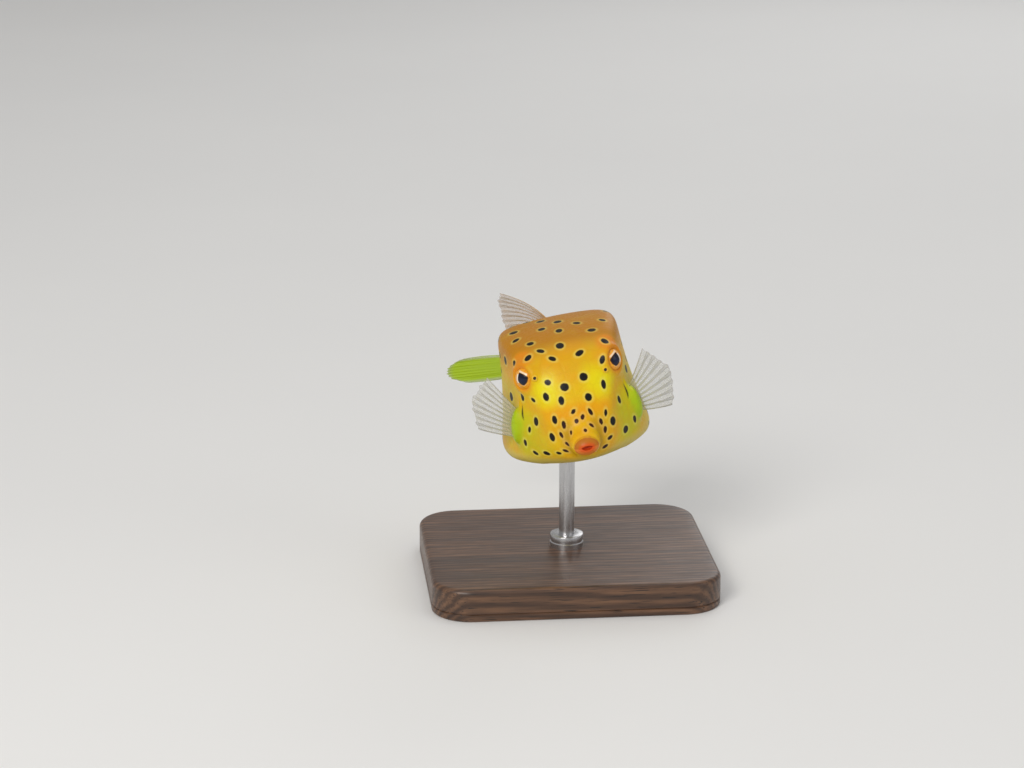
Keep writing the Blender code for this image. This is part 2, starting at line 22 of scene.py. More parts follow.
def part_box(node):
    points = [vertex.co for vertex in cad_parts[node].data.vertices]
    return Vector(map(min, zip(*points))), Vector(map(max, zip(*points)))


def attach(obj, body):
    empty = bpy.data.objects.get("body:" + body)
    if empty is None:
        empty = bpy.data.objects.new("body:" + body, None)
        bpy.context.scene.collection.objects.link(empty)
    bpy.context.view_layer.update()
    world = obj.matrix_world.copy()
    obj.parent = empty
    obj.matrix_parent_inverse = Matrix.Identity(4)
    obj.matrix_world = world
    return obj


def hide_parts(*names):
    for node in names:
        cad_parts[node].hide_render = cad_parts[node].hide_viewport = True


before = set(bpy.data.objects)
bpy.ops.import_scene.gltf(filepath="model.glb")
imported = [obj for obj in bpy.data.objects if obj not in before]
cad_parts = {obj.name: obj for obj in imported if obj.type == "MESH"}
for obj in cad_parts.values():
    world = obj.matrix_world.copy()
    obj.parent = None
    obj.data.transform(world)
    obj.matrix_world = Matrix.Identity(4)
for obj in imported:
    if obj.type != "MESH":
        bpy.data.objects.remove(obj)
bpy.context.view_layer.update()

LOG = logging.getLogger("boxfish")
MM = 0.001
BODY = "root"
Socket = bpy.types.NodeSocket
Material = bpy.types.Material
Pair = tuple[float, float]
Colour = tuple[float, float, float]
Triple = tuple[float, float, float]
Oval = tuple[float, float, float, float, float]


class Side(Enum):
    """The fish's own left and right."""

    LEFT = 1
    RIGHT = -1

    @property
    def word(self) -> str:
        """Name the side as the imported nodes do."""
        return self.name.lower()

    def flip(self, values: Triple) -> np.ndarray:
        """Mirror a point or direction that is given for the left side."""
        return np.array(values, float) * (self.value, 1, 1)


class Zone(Enum):
    """Values that the skin carries at each point for its finish."""

    SPOT = "spot"
    WARMTH = "warmth"
    OCHRE = "ochre"
    BLUSH = "blush"
    LEMON = "lemon"
    LIME = "lime"
    CREAM = "cream"
    ORBIT = "orbit"
    SLIT = "slit"
    MOUTH = "mouth"
    LOWER = "lower"
    # weight of the painted shade in the crease beside the snout
    FOLD = "fold"


def ease(value: np.ndarray, low: float, high: float) -> np.ndarray:
    """Rise smoothly from 0 at low to 1 at high.

    Args:
        value: the numbers to ease.
        low: where the rise starts.
        high: where it ends; below low it falls instead.

    Returns:
        The eased numbers, from 0 to 1.
    """
    part = np.clip((value - low) / (high - low), 0, 1)
    return part * part * (3 - 2 * part)


def soft_above(value: np.ndarray, softness: float) -> np.ndarray:
    """Return 0 below nought and the value itself above it, with a soft bend between."""
    return softness * np.logaddexp(0.0, value / softness)


def unit(vector: Triple) -> np.ndarray:
    """Scale a vector to length 1."""
    return np.array(vector, float) / np.linalg.norm(vector)


def mix(start: float, end: float, part: float) -> float:
    """Blend two numbers."""
    return start + (end - start) * part


def running_total(steps: np.ndarray) -> np.ndarray:
    """Add up steps one by one, from nought."""
    return np.concatenate(([0.0], np.cumsum(steps)))


def banked(points: np.ndarray, angle: float) -> np.ndarray:
    """Turn points about the y axis, by an angle in radians."""
    x, y, z = np.asarray(points, float).reshape(-1, 3).T
    cosine, sine = math.cos(angle), math.sin(angle)
    return np.column_stack((x * cosine - z * sine, y, x * sine + z * cosine))


def put_in_scene(name: str, data: bpy.types.ID) -> bpy.types.Object:
    """Make an object of a mesh, light or camera, at the origin, and show it."""
    item = bpy.data.objects.new(name, data)
    bpy.context.scene.collection.objects.link(item)
    return item


def set_values(mesh: bpy.types.Mesh, label: str, numbers: np.ndarray) -> None:
    """Give a mesh's points a named value each."""
    attribute = mesh.attributes.new(label, "FLOAT", "POINT")
    attribute.data.foreach_set("value", np.asarray(numbers, np.float32))


@dataclass(frozen=True)
class FishFrame:
    """Where the fish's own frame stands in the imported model, in millimetres."""

    origin: Triple
    bank: float

    @classmethod
    def from_eyes(cls, eye_centre: Triple) -> "FishFrame":
        """Read the fish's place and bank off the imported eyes.

        Args:
            eye_centre: the left eye's centre in the fish's own frame.

        Returns:
            The frame that carries both eyes to where they are packed.
        """
        left, right = [np.mean([list(corner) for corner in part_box(node)], axis=0) / MM
                       for node in ("eye_left", "eye_right")]
        across = left - right
        bank = math.atan2(across[2], across[0])
        rise = np.array((-math.sin(bank), 0.0, math.cos(bank))) * eye_centre[2]
        return cls(tuple((left + right) / 2 - rise - (0, eye_centre[1], 0)), bank)

    def place(self, points: np.ndarray) -> np.ndarray:
        """Carry points from the fish's frame, in millimetres, to the model's, in metres."""
        return (banked(points, self.bank) + self.origin) * MM

    def unplace(self, point: Vector) -> np.ndarray:
        """Carry one point of the model, in metres, back to the fish's frame."""
        return banked(np.array(point) / MM - self.origin, -self.bank)[0]


@dataclass
class Surface:
    """A mesh in the making: points in millimetres, faces, and values at the points."""

    points: np.ndarray
    faces: list[tuple[int, ...]]
    values: dict[str, np.ndarray] = field(default_factory=dict)

    def to_object(self, name: str, material: Material,
                  stand: FishFrame | None = None) -> bpy.types.Object:
        """Make the finished piece, with its place in its mesh.

        Args:
            name: the piece's name.
            material: its finish.
            stand: the fish's frame, or None for points that are in the model's frame.

        Returns:
            The new object, linked to the scene and shaded smooth.
        """
        placed = stand.place(self.points) if stand else np.asarray(self.points) * MM
        mesh = bpy.data.meshes.new(name)
        mesh.from_pydata(placed.tolist(), [], self.faces)
        for label, numbers in self.values.items():
            set_values(mesh, label, numbers)
        mesh.materials.append(material)
        mesh.shade_smooth()
        shape = bmesh.new()
        shape.from_mesh(mesh)
        bmesh.ops.recalc_face_normals(shape, faces=shape.faces)
        shape.to_mesh(mesh)
        shape.free()
        return put_in_scene(name, mesh)


def tube_faces(rows: int, columns: int) -> list[tuple[int, ...]]:
    """Join rows of closed rings, and close both ends onto one more point each.

    Args:
        rows: how many rings there are.
        columns: how many points a ring has.

    Returns:
        The faces; the last two points are the first end's and the last end's.
    """
    faces = []
    first = rows * columns
    for column in range(columns):
        after = (column + 1) % columns
        for row in range(rows - 1):
            low = row * columns
            high = low + columns
            faces.append((low + column, low + after, high + after, high + column))
        end = (rows - 1) * columns
        faces.append((first, after, column))
        faces.append((first + 1, end + column, end + after))
    return faces


def sheet_faces(columns: int, rows: int) -> list[tuple[int, ...]]:
    """Join the two faces of a thin sheet alike, and close its edge.

    Args:
        columns: points across, on each face.
        rows: points along, on each face.

    Returns:
        The faces, with the second face's points after the first's.
    """
    count = columns * rows
    faces = []
    for column in range(columns - 1):
        for row in range(rows - 1):
            corner = column * rows + row
            front = (corner, corner + rows, corner + rows + 1, corner + 1)
            faces.append(front)
            faces.append(tuple(index + count for index in reversed(front)))
    edge = [column * rows for column in range(columns)]
    edge += [(columns - 1) * rows + row for row in range(1, rows)]
    edge += [column * rows + rows - 1 for column in range(columns - 2, -1, -1)]
    edge += list(range(rows - 2, 0, -1))
    for start, end in zip(edge, edge[1:] + edge[:1]):
        faces.append((end, start, start + count, end + count))
    return faces


def lathe(profile: list[Pair], centre: np.ndarray, axis: np.ndarray,
          segments: int) -> Surface:
    """Turn a profile round an axis.

    Args:
        profile: pairs of radius and height along the axis, from one pole to the other.
        centre: the point where height is nought.
        axis: the axis, of length 1.
        segments: how many sides the turned piece has.

    Returns:
        The closed surface.
    """
    side, ahead = tangents(axis)
    points = []
    for radius, height in profile[1:-1]:
        for angle in np.linspace(0, 2 * math.pi, segments, endpoint=False):
            points.append(centre + axis * height
                          + (side * math.cos(angle) + ahead * math.sin(angle)) * radius)
    points += [centre + axis * profile[0][1], centre + axis * profile[-1][1]]
    return Surface(np.array(points), tube_faces(len(profile) - 2, segments))


def tangents(axis: np.ndarray) -> tuple[np.ndarray, np.ndarray]:
    """Give two directions across an axis: towards the snout, and upward."""
    ahead = np.array((0.0, -1.0, 0.0)) if abs(axis[1]) < 0.99 else np.array((1.0, 0.0, 0.0))
    ahead = unit(ahead - axis * (ahead @ axis))
    upward = np.cross(axis, ahead)
    return ahead, upward * (1 if upward[2] >= 0 else -1)


class Nodes:
    """Adds and links the shader nodes of one material."""

    def __init__(self, name: str) -> None:
        """Start a material that has only its Principled shader."""
        self.material = bpy.data.materials.new(name)
        self.material.use_nodes = True
        self.tree = self.material.node_tree
        self.shader = self.tree.nodes["Principled BSDF"]

    def feed(self, socket: Socket, value: object) -> None:
        """Link a socket to another, or set it to a constant."""
        if isinstance(value, Socket):
            self.tree.links.new(value, socket)
        elif isinstance(value, tuple) and socket.type == "RGBA" and len(value) == 3:
            socket.default_value = (*value, 1.0)
        else:
            socket.default_value = value

    def add(self, kind: str, inputs: dict[int | str, object],
            **settings: object) -> bpy.types.Node:
        """Add a node.

        Args:
            kind: the node's type.
            inputs: values or sockets by input name or number.
            settings: the node's own properties.

        Returns:
            The new node.
        """
        node = self.tree.nodes.new(kind)
        for label, value in settings.items():
            setattr(node, label, value)
        for label, value in inputs.items():
            self.feed(node.inputs[label], value)
        return node

    def value(self, label: str) -> Socket:
        """Read a value that the mesh carries at its points."""
        return self.add("ShaderNodeAttribute", {}, attribute_name=label).outputs["Fac"]

    def place(self) -> Socket:
        """Read the model's own coordinates, in metres."""
        return self.add("ShaderNodeTexCoord", {}).outputs["Object"]

    def math(self, operation: str, first: object, second: object = 0.0,
             third: object = 0.0) -> Socket:
        """Work out a sum of up to three numbers."""
        return self.add("ShaderNodeMath", {0: first, 1: second, 2: third},
                        operation=operation).outputs[0]

    def ease(self, value: object, low: float, high: float, bottom: float = 0.0,
             top: float = 1.0) -> Socket:
        """Rise smoothly from bottom to top as the value goes from low to high."""
        if low > high:
            low, high, bottom, top = high, low, top, bottom
        return self.add("ShaderNodeMapRange", {0: value, 1: low, 2: high, 3: bottom, 4: top},
                        interpolation_type="SMOOTHSTEP").outputs[0]

    def mix(self, factor: object, first: object, second: object, mode: str = "MIX") -> Socket:
        """Mix two colours."""
        return self.add("ShaderNodeMix", {0: factor, 6: first, 7: second}, data_type="RGBA",
                        blend_type=mode).outputs[2]

    def noise(self, scale: float, detail: float = 3.0, roughness: float = 0.55,
              stretch: Triple = (1.0, 1.0, 1.0)) -> Socket:
        """Read smooth noise in the model's own coordinates.

        Args:
            scale: how many blobs there are in a metre.
            detail: how many finer layers it has.
            roughness: how strong the finer layers are.
            stretch: how much the pattern shrinks along each axis.

        Returns:
            The noise, about a half on average.
        """
        place = self.place()
        if stretch != (1.0, 1.0, 1.0):
            place = self.add("ShaderNodeMapping", {"Vector": place, "Scale": stretch}).outputs[0]
        return self.add("ShaderNodeTexNoise", {"Vector": place, "Scale": scale,
                                               "Detail": detail,
                                               "Roughness": roughness}).outputs["Fac"]

    def cells(self, scale: float, feature: str = "F1") -> Socket:
        """Read the distance in a pattern of cells in the model's own coordinates."""
        return self.add("ShaderNodeTexVoronoi", {"Vector": self.place(), "Scale": scale},
                        feature=feature).outputs["Distance"]

    def ragged(self, label: str, noise: Socket, amount: float) -> Socket:
        """Read a value of the mesh, shifted by noise so that its edges wander."""
        return self.math("MULTIPLY_ADD", self.math("SUBTRACT", noise, 0.5), amount,
                         self.value(label))

    def bump(self, height: object, distance: float, strength: float = 1.0,
             before: Socket | None = None) -> Socket:
        """Tilt the surface by a height field, distance being its full height in metres."""
        node = self.add("ShaderNodeBump", {"Height": height, "Distance": distance,
                                           "Strength": strength})
        if before:
            self.feed(node.inputs["Normal"], before)
        return node.outputs[0]

    def finish(self, **sockets: object) -> Material:
        """Set the shader's sockets, named with _ for a space, and return the material."""
        for label, value in sockets.items():
            self.feed(self.shader.inputs[label.replace("_", " ")], value)
        return self.material


@dataclass(frozen=True)
class SkinFinish:
    """Satin yellow skin: zones of gold, ochre, lemon, lime and cream, spots with halos, and painted
    shade in the snout's creases and the gill slits.
    """

    gold: Colour = (0.76, 0.39, 0.003)
    ochre: Colour = (0.46, 0.18, 0.002)
    lemon: Colour = (0.80, 0.68, 0.004)
    lime: Colour = (0.40, 0.56, 0.004)
    cream: Colour = (0.60, 0.50, 0.12)
    # painted shade for the crease between the snout and the cheeks
    fold: Colour = (0.36, 0.21, 0.006)
    blush: Colour = (0.82, 0.31, 0.003)
    halo: Colour = (0.78, 0.74, 0.16)
    warm_halo: Colour = (0.80, 0.48, 0.14)
    spot: Colour = (0.004, 0.004, 0.003)
    warm_spot: Colour = (0.045, 0.007, 0.004)
    spot_edge: Colour = (0.11, 0.06, 0.004)
    orbit: Colour = (0.76, 0.25, 0.006)
    # painted shade: near black for the shadow inside the gill slits
    slit: Colour = (0.03, 0.022, 0.006)
    mouth_inside: Colour = (0.56, 0.055, 0.006)
    lip_inner: Colour = (0.66, 0.095, 0.010)
    lip_upper: Colour = (0.48, 0.155, 0.010)
    lip_lower: Colour = (0.66, 0.20, 0.030)
    halo_band: Pair = (0.62, 0.10)
    halo_strength: float = 0.40
    spot_line: Pair = (0.17, 0.04)
    spot_rim: Pair = (0.09, -0.04)
    plate_width: float = 1.9
    grain_width: float = 0.16
    roughness: Pair = (0.34, 0.50)

    def build(self) -> Material:
        """Build the material from the values that the skin carries."""
        nodes = Nodes("boxfish_skin")
        cloud = nodes.noise(260.0, 4.0)
        grain = nodes.cells(1 / (self.grain_width * MM))
        plates = nodes.cells(1 / (self.plate_width * MM), "DISTANCE_TO_EDGE")
        colour = self.zones(nodes, cloud)
        colour = nodes.mix(nodes.ease(grain, 0.2, 0.75, 0.0, 0.16), colour, self.cream,
                           "SOFT_LIGHT")
        colour = nodes.mix(nodes.ease(plates, 0.0, 0.12, 0.07, 0.0), colour, self.ochre)
        colour = self.spots(nodes, colour)
        colour = self.mouth(nodes, colour)
        # painted shade: darken the skin along each gill slit, where its groove lies in shadow
        slit = nodes.ease(nodes.value(Zone.SLIT.value), 0.16, 0.04)
        colour = nodes.mix(slit, colour, self.slit)
        relief = nodes.bump(nodes.ease(plates, 0.0, 0.2), 0.00003, 0.4)
        relief = nodes.bump(grain, 0.00003, 0.5, relief)
        rough = nodes.ease(nodes.noise(2600.0), 0.3, 0.7, *self.roughness)
        return nodes.finish(Base_Color=colour, Roughness=rough, Normal=relief,
                            Subsurface_Weight=0.05, Subsurface_Radius=(1.0, 0.55, 0.2),
                            Subsurface_Scale=0.0008, Specular_IOR_Level=0.21,
                            Coat_Weight=0.03, Coat_Roughness=0.25)

    def zones(self, nodes: Nodes, cloud: Socket) -> Socket:
        """Lay the zones of colour over the gold, each with a cloudy edge.

        Args:
            nodes: the material's nodes.
            cloud: soft noise, which the edges follow.

        Returns:
            The colour so far.
        """
        colour = nodes.mix(nodes.ease(cloud, 0.35, 0.7, 0.0, 0.35), self.gold, self.lemon)
        for zone, tint, most in ((Zone.OCHRE, self.ochre, 0.9), (Zone.BLUSH, self.blush, 0.8),
                                 (Zone.LIME, self.lime, 1.0), (Zone.CREAM, self.cream, 0.9),
                                 (Zone.LEMON, self.lemon, 1.0)):
            cloudy = nodes.ragged(zone.value, cloud, 0.5)
            colour = nodes.mix(nodes.ease(cloudy, 0.0, 1.0, 0.0, most), colour, tint)
        # painted shade: darken the colour in the crease between the snout and the cheeks
        colour = nodes.mix(nodes.math("MULTIPLY", nodes.value(Zone.FOLD.value), 0.62), colour,
                           self.fold)
        orbit = nodes.ease(nodes.value(Zone.ORBIT.value), 2.6, 1.5, 0.0, 0.85)
        return nodes.mix(orbit, colour, self.orbit)

    def spots(self, nodes: Nodes, colour: Socket) -> Socket:
        """Lay each spot and its pale halo by the distance to the nearest spot's edge.

        Args:
            nodes: the material's nodes.
            colour: the colour so far.

        Returns:
            The colour with this on top.
        """
        edge = nodes.ragged(Zone.SPOT.value, nodes.noise(2200.0), 0.16)
        warmth = nodes.value(Zone.WARMTH.value)
        halo = nodes.mix(warmth, self.halo, self.warm_halo)
        dark = nodes.mix(warmth, self.spot, self.warm_spot)
        colour = nodes.mix(nodes.ease(edge, *self.halo_band, 0.0, self.halo_strength), colour, halo)
        colour = nodes.mix(nodes.ease(edge, *self.spot_line), colour, self.spot_edge)
        return nodes.mix(nodes.ease(edge, *self.spot_rim), colour, dark)

    def mouth(self, nodes: Nodes, colour: Socket) -> Socket:
        """Colour the mouth's inside and the lips, by how far out from the throat they are.

        Args:
            nodes: the material's nodes.
            colour: the colour so far.

        Returns:
            The colour with this on top.
        """
        outward = nodes.ragged(Zone.MOUTH.value, nodes.noise(1500.0), 0.10)
        lip = nodes.mix(nodes.value(Zone.LOWER.value), self.lip_upper, self.lip_lower)
        lip = nodes.mix(nodes.ease(outward, 0.74, 0.44), lip, self.lip_inner)
        lip = nodes.mix(nodes.ease(outward, 0.30, 0.20), lip, self.mouth_inside)
        return nodes.mix(nodes.ease(outward, 1.05, 0.93), colour, lip)


@dataclass(frozen=True)
class EyeFinish:
    """Glossy eye: navy pupil with a painted blue sheen low in it, dark line, white and cream
    crescents, orange surround.
    """

    pupil: Colour = (0.004, 0.006, 0.018)
    painted_pupil_sheen: Colour = (0.004, 0.009, 0.040)
    line: Colour = (0.045, 0.012, 0.004)
    white: Colour = (0.92, 0.84, 0.68)
    orange: Colour = (0.82, 0.27, 0.012)
    gold: Colour = (0.86, 0.46, 0.02)
    rim: Colour = (0.30, 0.075, 0.018)

    def build(self) -> Material:
        """Build the material from the eye's own values."""
        nodes = Nodes("boxfish_eye")
        streaks = nodes.value("streak")
        iris = nodes.mix(nodes.ease(streaks, 0.2, 0.8), self.orange, self.gold)
        iris = nodes.mix(nodes.ease(nodes.value("white"), 0.15, 0.6), iris, self.white)
        edge = nodes.value("pupil")
        iris = nodes.mix(nodes.ease(edge, 0.16, 0.07), iris, self.line)
        # painted reflection: a blue sheen spot mixed into the pupil's colour, low in its middle
        inside = nodes.mix(nodes.ease(nodes.value("glow"), 0.0, 1.0), self.pupil, self.painted_pupil_sheen)
        colour = nodes.mix(nodes.ease(edge, 0.03, -0.03), iris, inside)
        colour = nodes.mix(nodes.ease(nodes.value("rim"), 0.0, 1.0), colour, self.rim)
        relief = nodes.bump(nodes.noise(5000.0), 0.000004, 0.2)
        return nodes.finish(Base_Color=colour, Roughness=0.22, Normal=relief,
                            IOR=1.33, Coat_Weight=0.35, Coat_IOR=1.33, Coat_Roughness=0.03)


@dataclass(frozen=True)
class MembraneFinish:
    """Clear fin skin: a pale tint that thickens at the root and beside the rays."""

    name: str
    clear: Colour
    root: Colour
    band: Colour
    alpha: Pair = (0.30, 0.85)

    def build(self) -> Material:
        """Build the material from the fin's own values."""
        nodes = Nodes(self.name)
        along = nodes.value("along")
        band = nodes.value("band")
        ray = nodes.value("ray")
        mottle = nodes.noise(1800.0, 4.0)
        colour = nodes.mix(nodes.ease(mottle, 0.3, 0.7, 0.0, 0.25), self.clear, self.root)
        colour = nodes.mix(band, colour, self.band)
        colour = nodes.mix(nodes.ease(along, 0.28, 0.02), colour, self.root)
        thin, thick = self.alpha
        solid = nodes.ease(along, 0.35, 0.0, 0.0, 0.5)
        solid = nodes.math("MAXIMUM", solid, nodes.math("MULTIPLY", ray, 0.3))
        solid = nodes.math("MAXIMUM", solid, band)
        solid = nodes.math("ADD", solid, nodes.ease(mottle, 0.3, 0.8, -0.04, 0.08))
        alpha = nodes.ease(solid, 0.0, 1.0, thin, thick)
        relief = nodes.bump(nodes.noise(5200.0, 2.0), 0.00001, 0.4)
        return nodes.finish(Base_Color=colour, Alpha=alpha, Normal=relief, Roughness=0.30,
                            Coat_Weight=0.3, Coat_Roughness=0.15)


@dataclass(frozen=True)
class RayFinish:
    """Fin rays: translucent horn, darker in small blotches, paler towards the tip."""

    name: str
    root: Colour
    tip: Colour
    joint: Colour
    alpha: float = 0.9

    def build(self) -> Material:
        """Build the material from the rays' own values."""
        nodes = Nodes(self.name)
        along = nodes.value("along")
        colour = nodes.mix(nodes.ease(along, 0.1, 0.9), self.root, self.tip)
        colour = nodes.mix(nodes.ease(nodes.noise(3600.0, 2.0), 0.45, 0.75, 0.0, 0.5), colour,
                           self.joint)
        alpha = nodes.ease(along, 0.75, 1.0, self.alpha, self.alpha * 0.6)
        relief = nodes.bump(nodes.noise(9000.0, 2.0), 0.00001, 0.3)
        return nodes.finish(Base_Color=colour, Alpha=alpha, Normal=relief, Roughness=0.35,
                            Coat_Weight=0.2, Coat_Roughness=0.2)


@dataclass(frozen=True)
class WoodFinish:
    """Oiled dark walnut with its grain along X."""

    dark: Colour = (0.045, 0.020, 0.010)
    light: Colour = (0.20, 0.098, 0.048)
    pore: Colour = (0.018, 0.009, 0.005)
    grain_width: float = 1.2

    def build(self) -> Material:
        """Build the material with wavy year rings, fine fibres and open pores."""
        nodes = Nodes("walnut")
        along = (0.12, 1.0, 1.0)
        waves = nodes.noise(60.0, 4.0, 0.6, along)
        split = nodes.add("ShaderNodeSeparateXYZ", {0: nodes.place()})
        across = nodes.math("MULTIPLY_ADD", split.outputs["Z"], 0.6, split.outputs["Y"])
        rings = nodes.math("MULTIPLY_ADD", across, 2 * math.pi / (self.grain_width * MM),
                           nodes.math("MULTIPLY", waves, 46.0))
        rings = nodes.math("MULTIPLY_ADD", nodes.math("SINE", rings), 0.15,
                           nodes.noise(420.0, 4.0, 0.6, (0.08, 1.0, 1.0)))
        colour = nodes.mix(nodes.ease(rings, 0.22, 0.86), self.dark, self.light)
        fibres = nodes.noise(2600.0, 3.0, 0.6, (0.06, 1.0, 1.0))
        colour = nodes.mix(nodes.ease(fibres, 0.35, 0.65, 0.0, 0.45), colour, self.dark)
        pores = nodes.noise(5200.0, 1.0, 0.5, (0.05, 1.0, 1.0))
        pitted = nodes.ease(pores, 0.62, 0.70)
        colour = nodes.mix(pitted, colour, self.pore)
        relief = nodes.bump(nodes.math("SUBTRACT", fibres, pitted), 0.00003, 0.35)
        rough = nodes.ease(fibres, 0.3, 0.7, 0.36, 0.52)
        return nodes.finish(Base_Color=colour, Roughness=rough, Normal=relief,
                            Coat_Weight=0.25, Coat_Roughness=0.3)


@dataclass(frozen=True)
class SteelFinish:
    """Fine brushed steel, with its lines round the vertical or along it."""

    name: str
    stretch: Triple
    colour: Colour = (0.60, 0.60, 0.61)
    worn: Colour = (0.52, 0.52, 0.53)

    def build(self) -> Material:
        """Build the material with brushed lines in colour, roughness and relief."""
        nodes = Nodes(self.name)
        lines = nodes.noise(16000.0, 2.0, 0.6, self.stretch)
        colour = nodes.mix(nodes.ease(lines, 0.3, 0.7), self.colour, self.worn)
        rough = nodes.ease(lines, 0.3, 0.7, 0.24, 0.34)
        return nodes.finish(Base_Color=colour, Metallic=1.0, Roughness=rough,
                            Normal=nodes.bump(lines, 0.000004, 0.3))


@dataclass(frozen=True)
class FloorFinish:
    """Matt pale paper."""

    colour: Colour = (0.84, 0.84, 0.83)
    shade: Colour = (0.80, 0.80, 0.795)

    def build(self) -> Material:
        """Build the material with faint clouds and fine tooth."""
        nodes = Nodes("studio_paper")
        colour = nodes.mix(nodes.noise(9.0), self.colour, self.shade)
        return nodes.finish(Base_Color=colour, Roughness=0.85,
                            Normal=nodes.bump(nodes.noise(1800.0), 0.00003, 0.2))


@dataclass(frozen=True)
class PhotoCamera:
    """The photograph's camera: its place in millimetres and the way it looks.

    Azimuth turns the view from +Y towards +X, and elevation tips it down.
    """

    place: Triple = (-50.45, -423.27, 156.39)
    azimuth: float = 5.658
    elevation: float = 16.381
    view_angle: float = 20.0
    frame_size: tuple[int, int] = (1024, 768)

    @property
    def axes(self) -> tuple[np.ndarray, np.ndarray, np.ndarray]:
        """Give the directions to the picture's right, to its top, and into it."""
        turn, tip = math.radians(self.azimuth), math.radians(self.elevation)
        into = np.array((math.cos(tip) * math.sin(turn), math.cos(tip) * math.cos(turn),
                         -math.sin(tip)))
        right = np.array((math.cos(turn), -math.sin(turn), 0.0))
        return right, np.cross(right, into), into

    @property
    def focal_pixels(self) -> float:
        """Give the focal length in pixels of the picture."""
        return self.frame_size[0] / 2 / math.tan(math.radians(self.view_angle / 2))

    def ray(self, column: float, row: float) -> tuple[Vector, Vector]:
        """Cast a picture point into the model's frame.

        Args:
            column: the point's pixel column in the photograph.
            row: its pixel row.

        Returns:
            The camera's place in metres and the direction of the ray.
        """
        right, up, into = self.axes
        wide, high = self.frame_size
        direction = (into * self.focal_pixels + right * (column - wide / 2)
                     + up * (high / 2 - row))
        return Vector(self.place) * MM, Vector(direction).normalized()

    def build(self) -> bpy.types.Object:
        """Make the camera, and let the scene look through it."""
        lens = bpy.data.cameras.new("photo_camera")
        lens.sensor_width = 36.0
        lens.angle = math.radians(self.view_angle)
        lens.clip_start = 0.01
        item = put_in_scene("photo_camera", lens)
        right, up, into = self.axes
        turn = Matrix(np.column_stack((right, up, -into)).tolist()).to_4x4()
        item.matrix_world = Matrix.Translation(Vector(self.place) * MM) @ turn
        bpy.context.scene.camera = item
        return item


@dataclass(frozen=True)
class MidlinePlan:
    """A fin on the midline, by pairs for its first and its last ray.

    base is where they leave the midline, behind the lips, and up is 1 on the back and -1
    on the belly. They lean over to the fish's right and are swept back, in degrees.
    """

    base: Pair
    lengths: Pair
    leans: Pair
    sweeps: Pair
    up: int


DORSAL = MidlinePlan((27.6, 30.6), (9.3, 6.8), (46.0, 70.0), (0.0, 34.0), 1)
ANAL = MidlinePlan((27.4, 30.2), (6.4, 4.8), (24.0, 40.0), (12.0, 52.0), -1)


@dataclass(frozen=True)
class EyePlan:
    """Size and place of the left eye; the right one mirrors it."""

    centre: Triple = (6.12, 9.14, 4.42)
    axis: Triple = (0.80, -0.58, 0.12)
    radius: float = 1.94
    opening: float = 1.56
    dome_radius: float = 2.55
    dome_softness: float = 0.6
    dome_level: float = 1.27
    level_softness: float = 0.2
    lid_sink: float = 0.10
    lid_rise: float = 1.6
    lid_width: float = 0.5
    lid_softness: float = 0.07


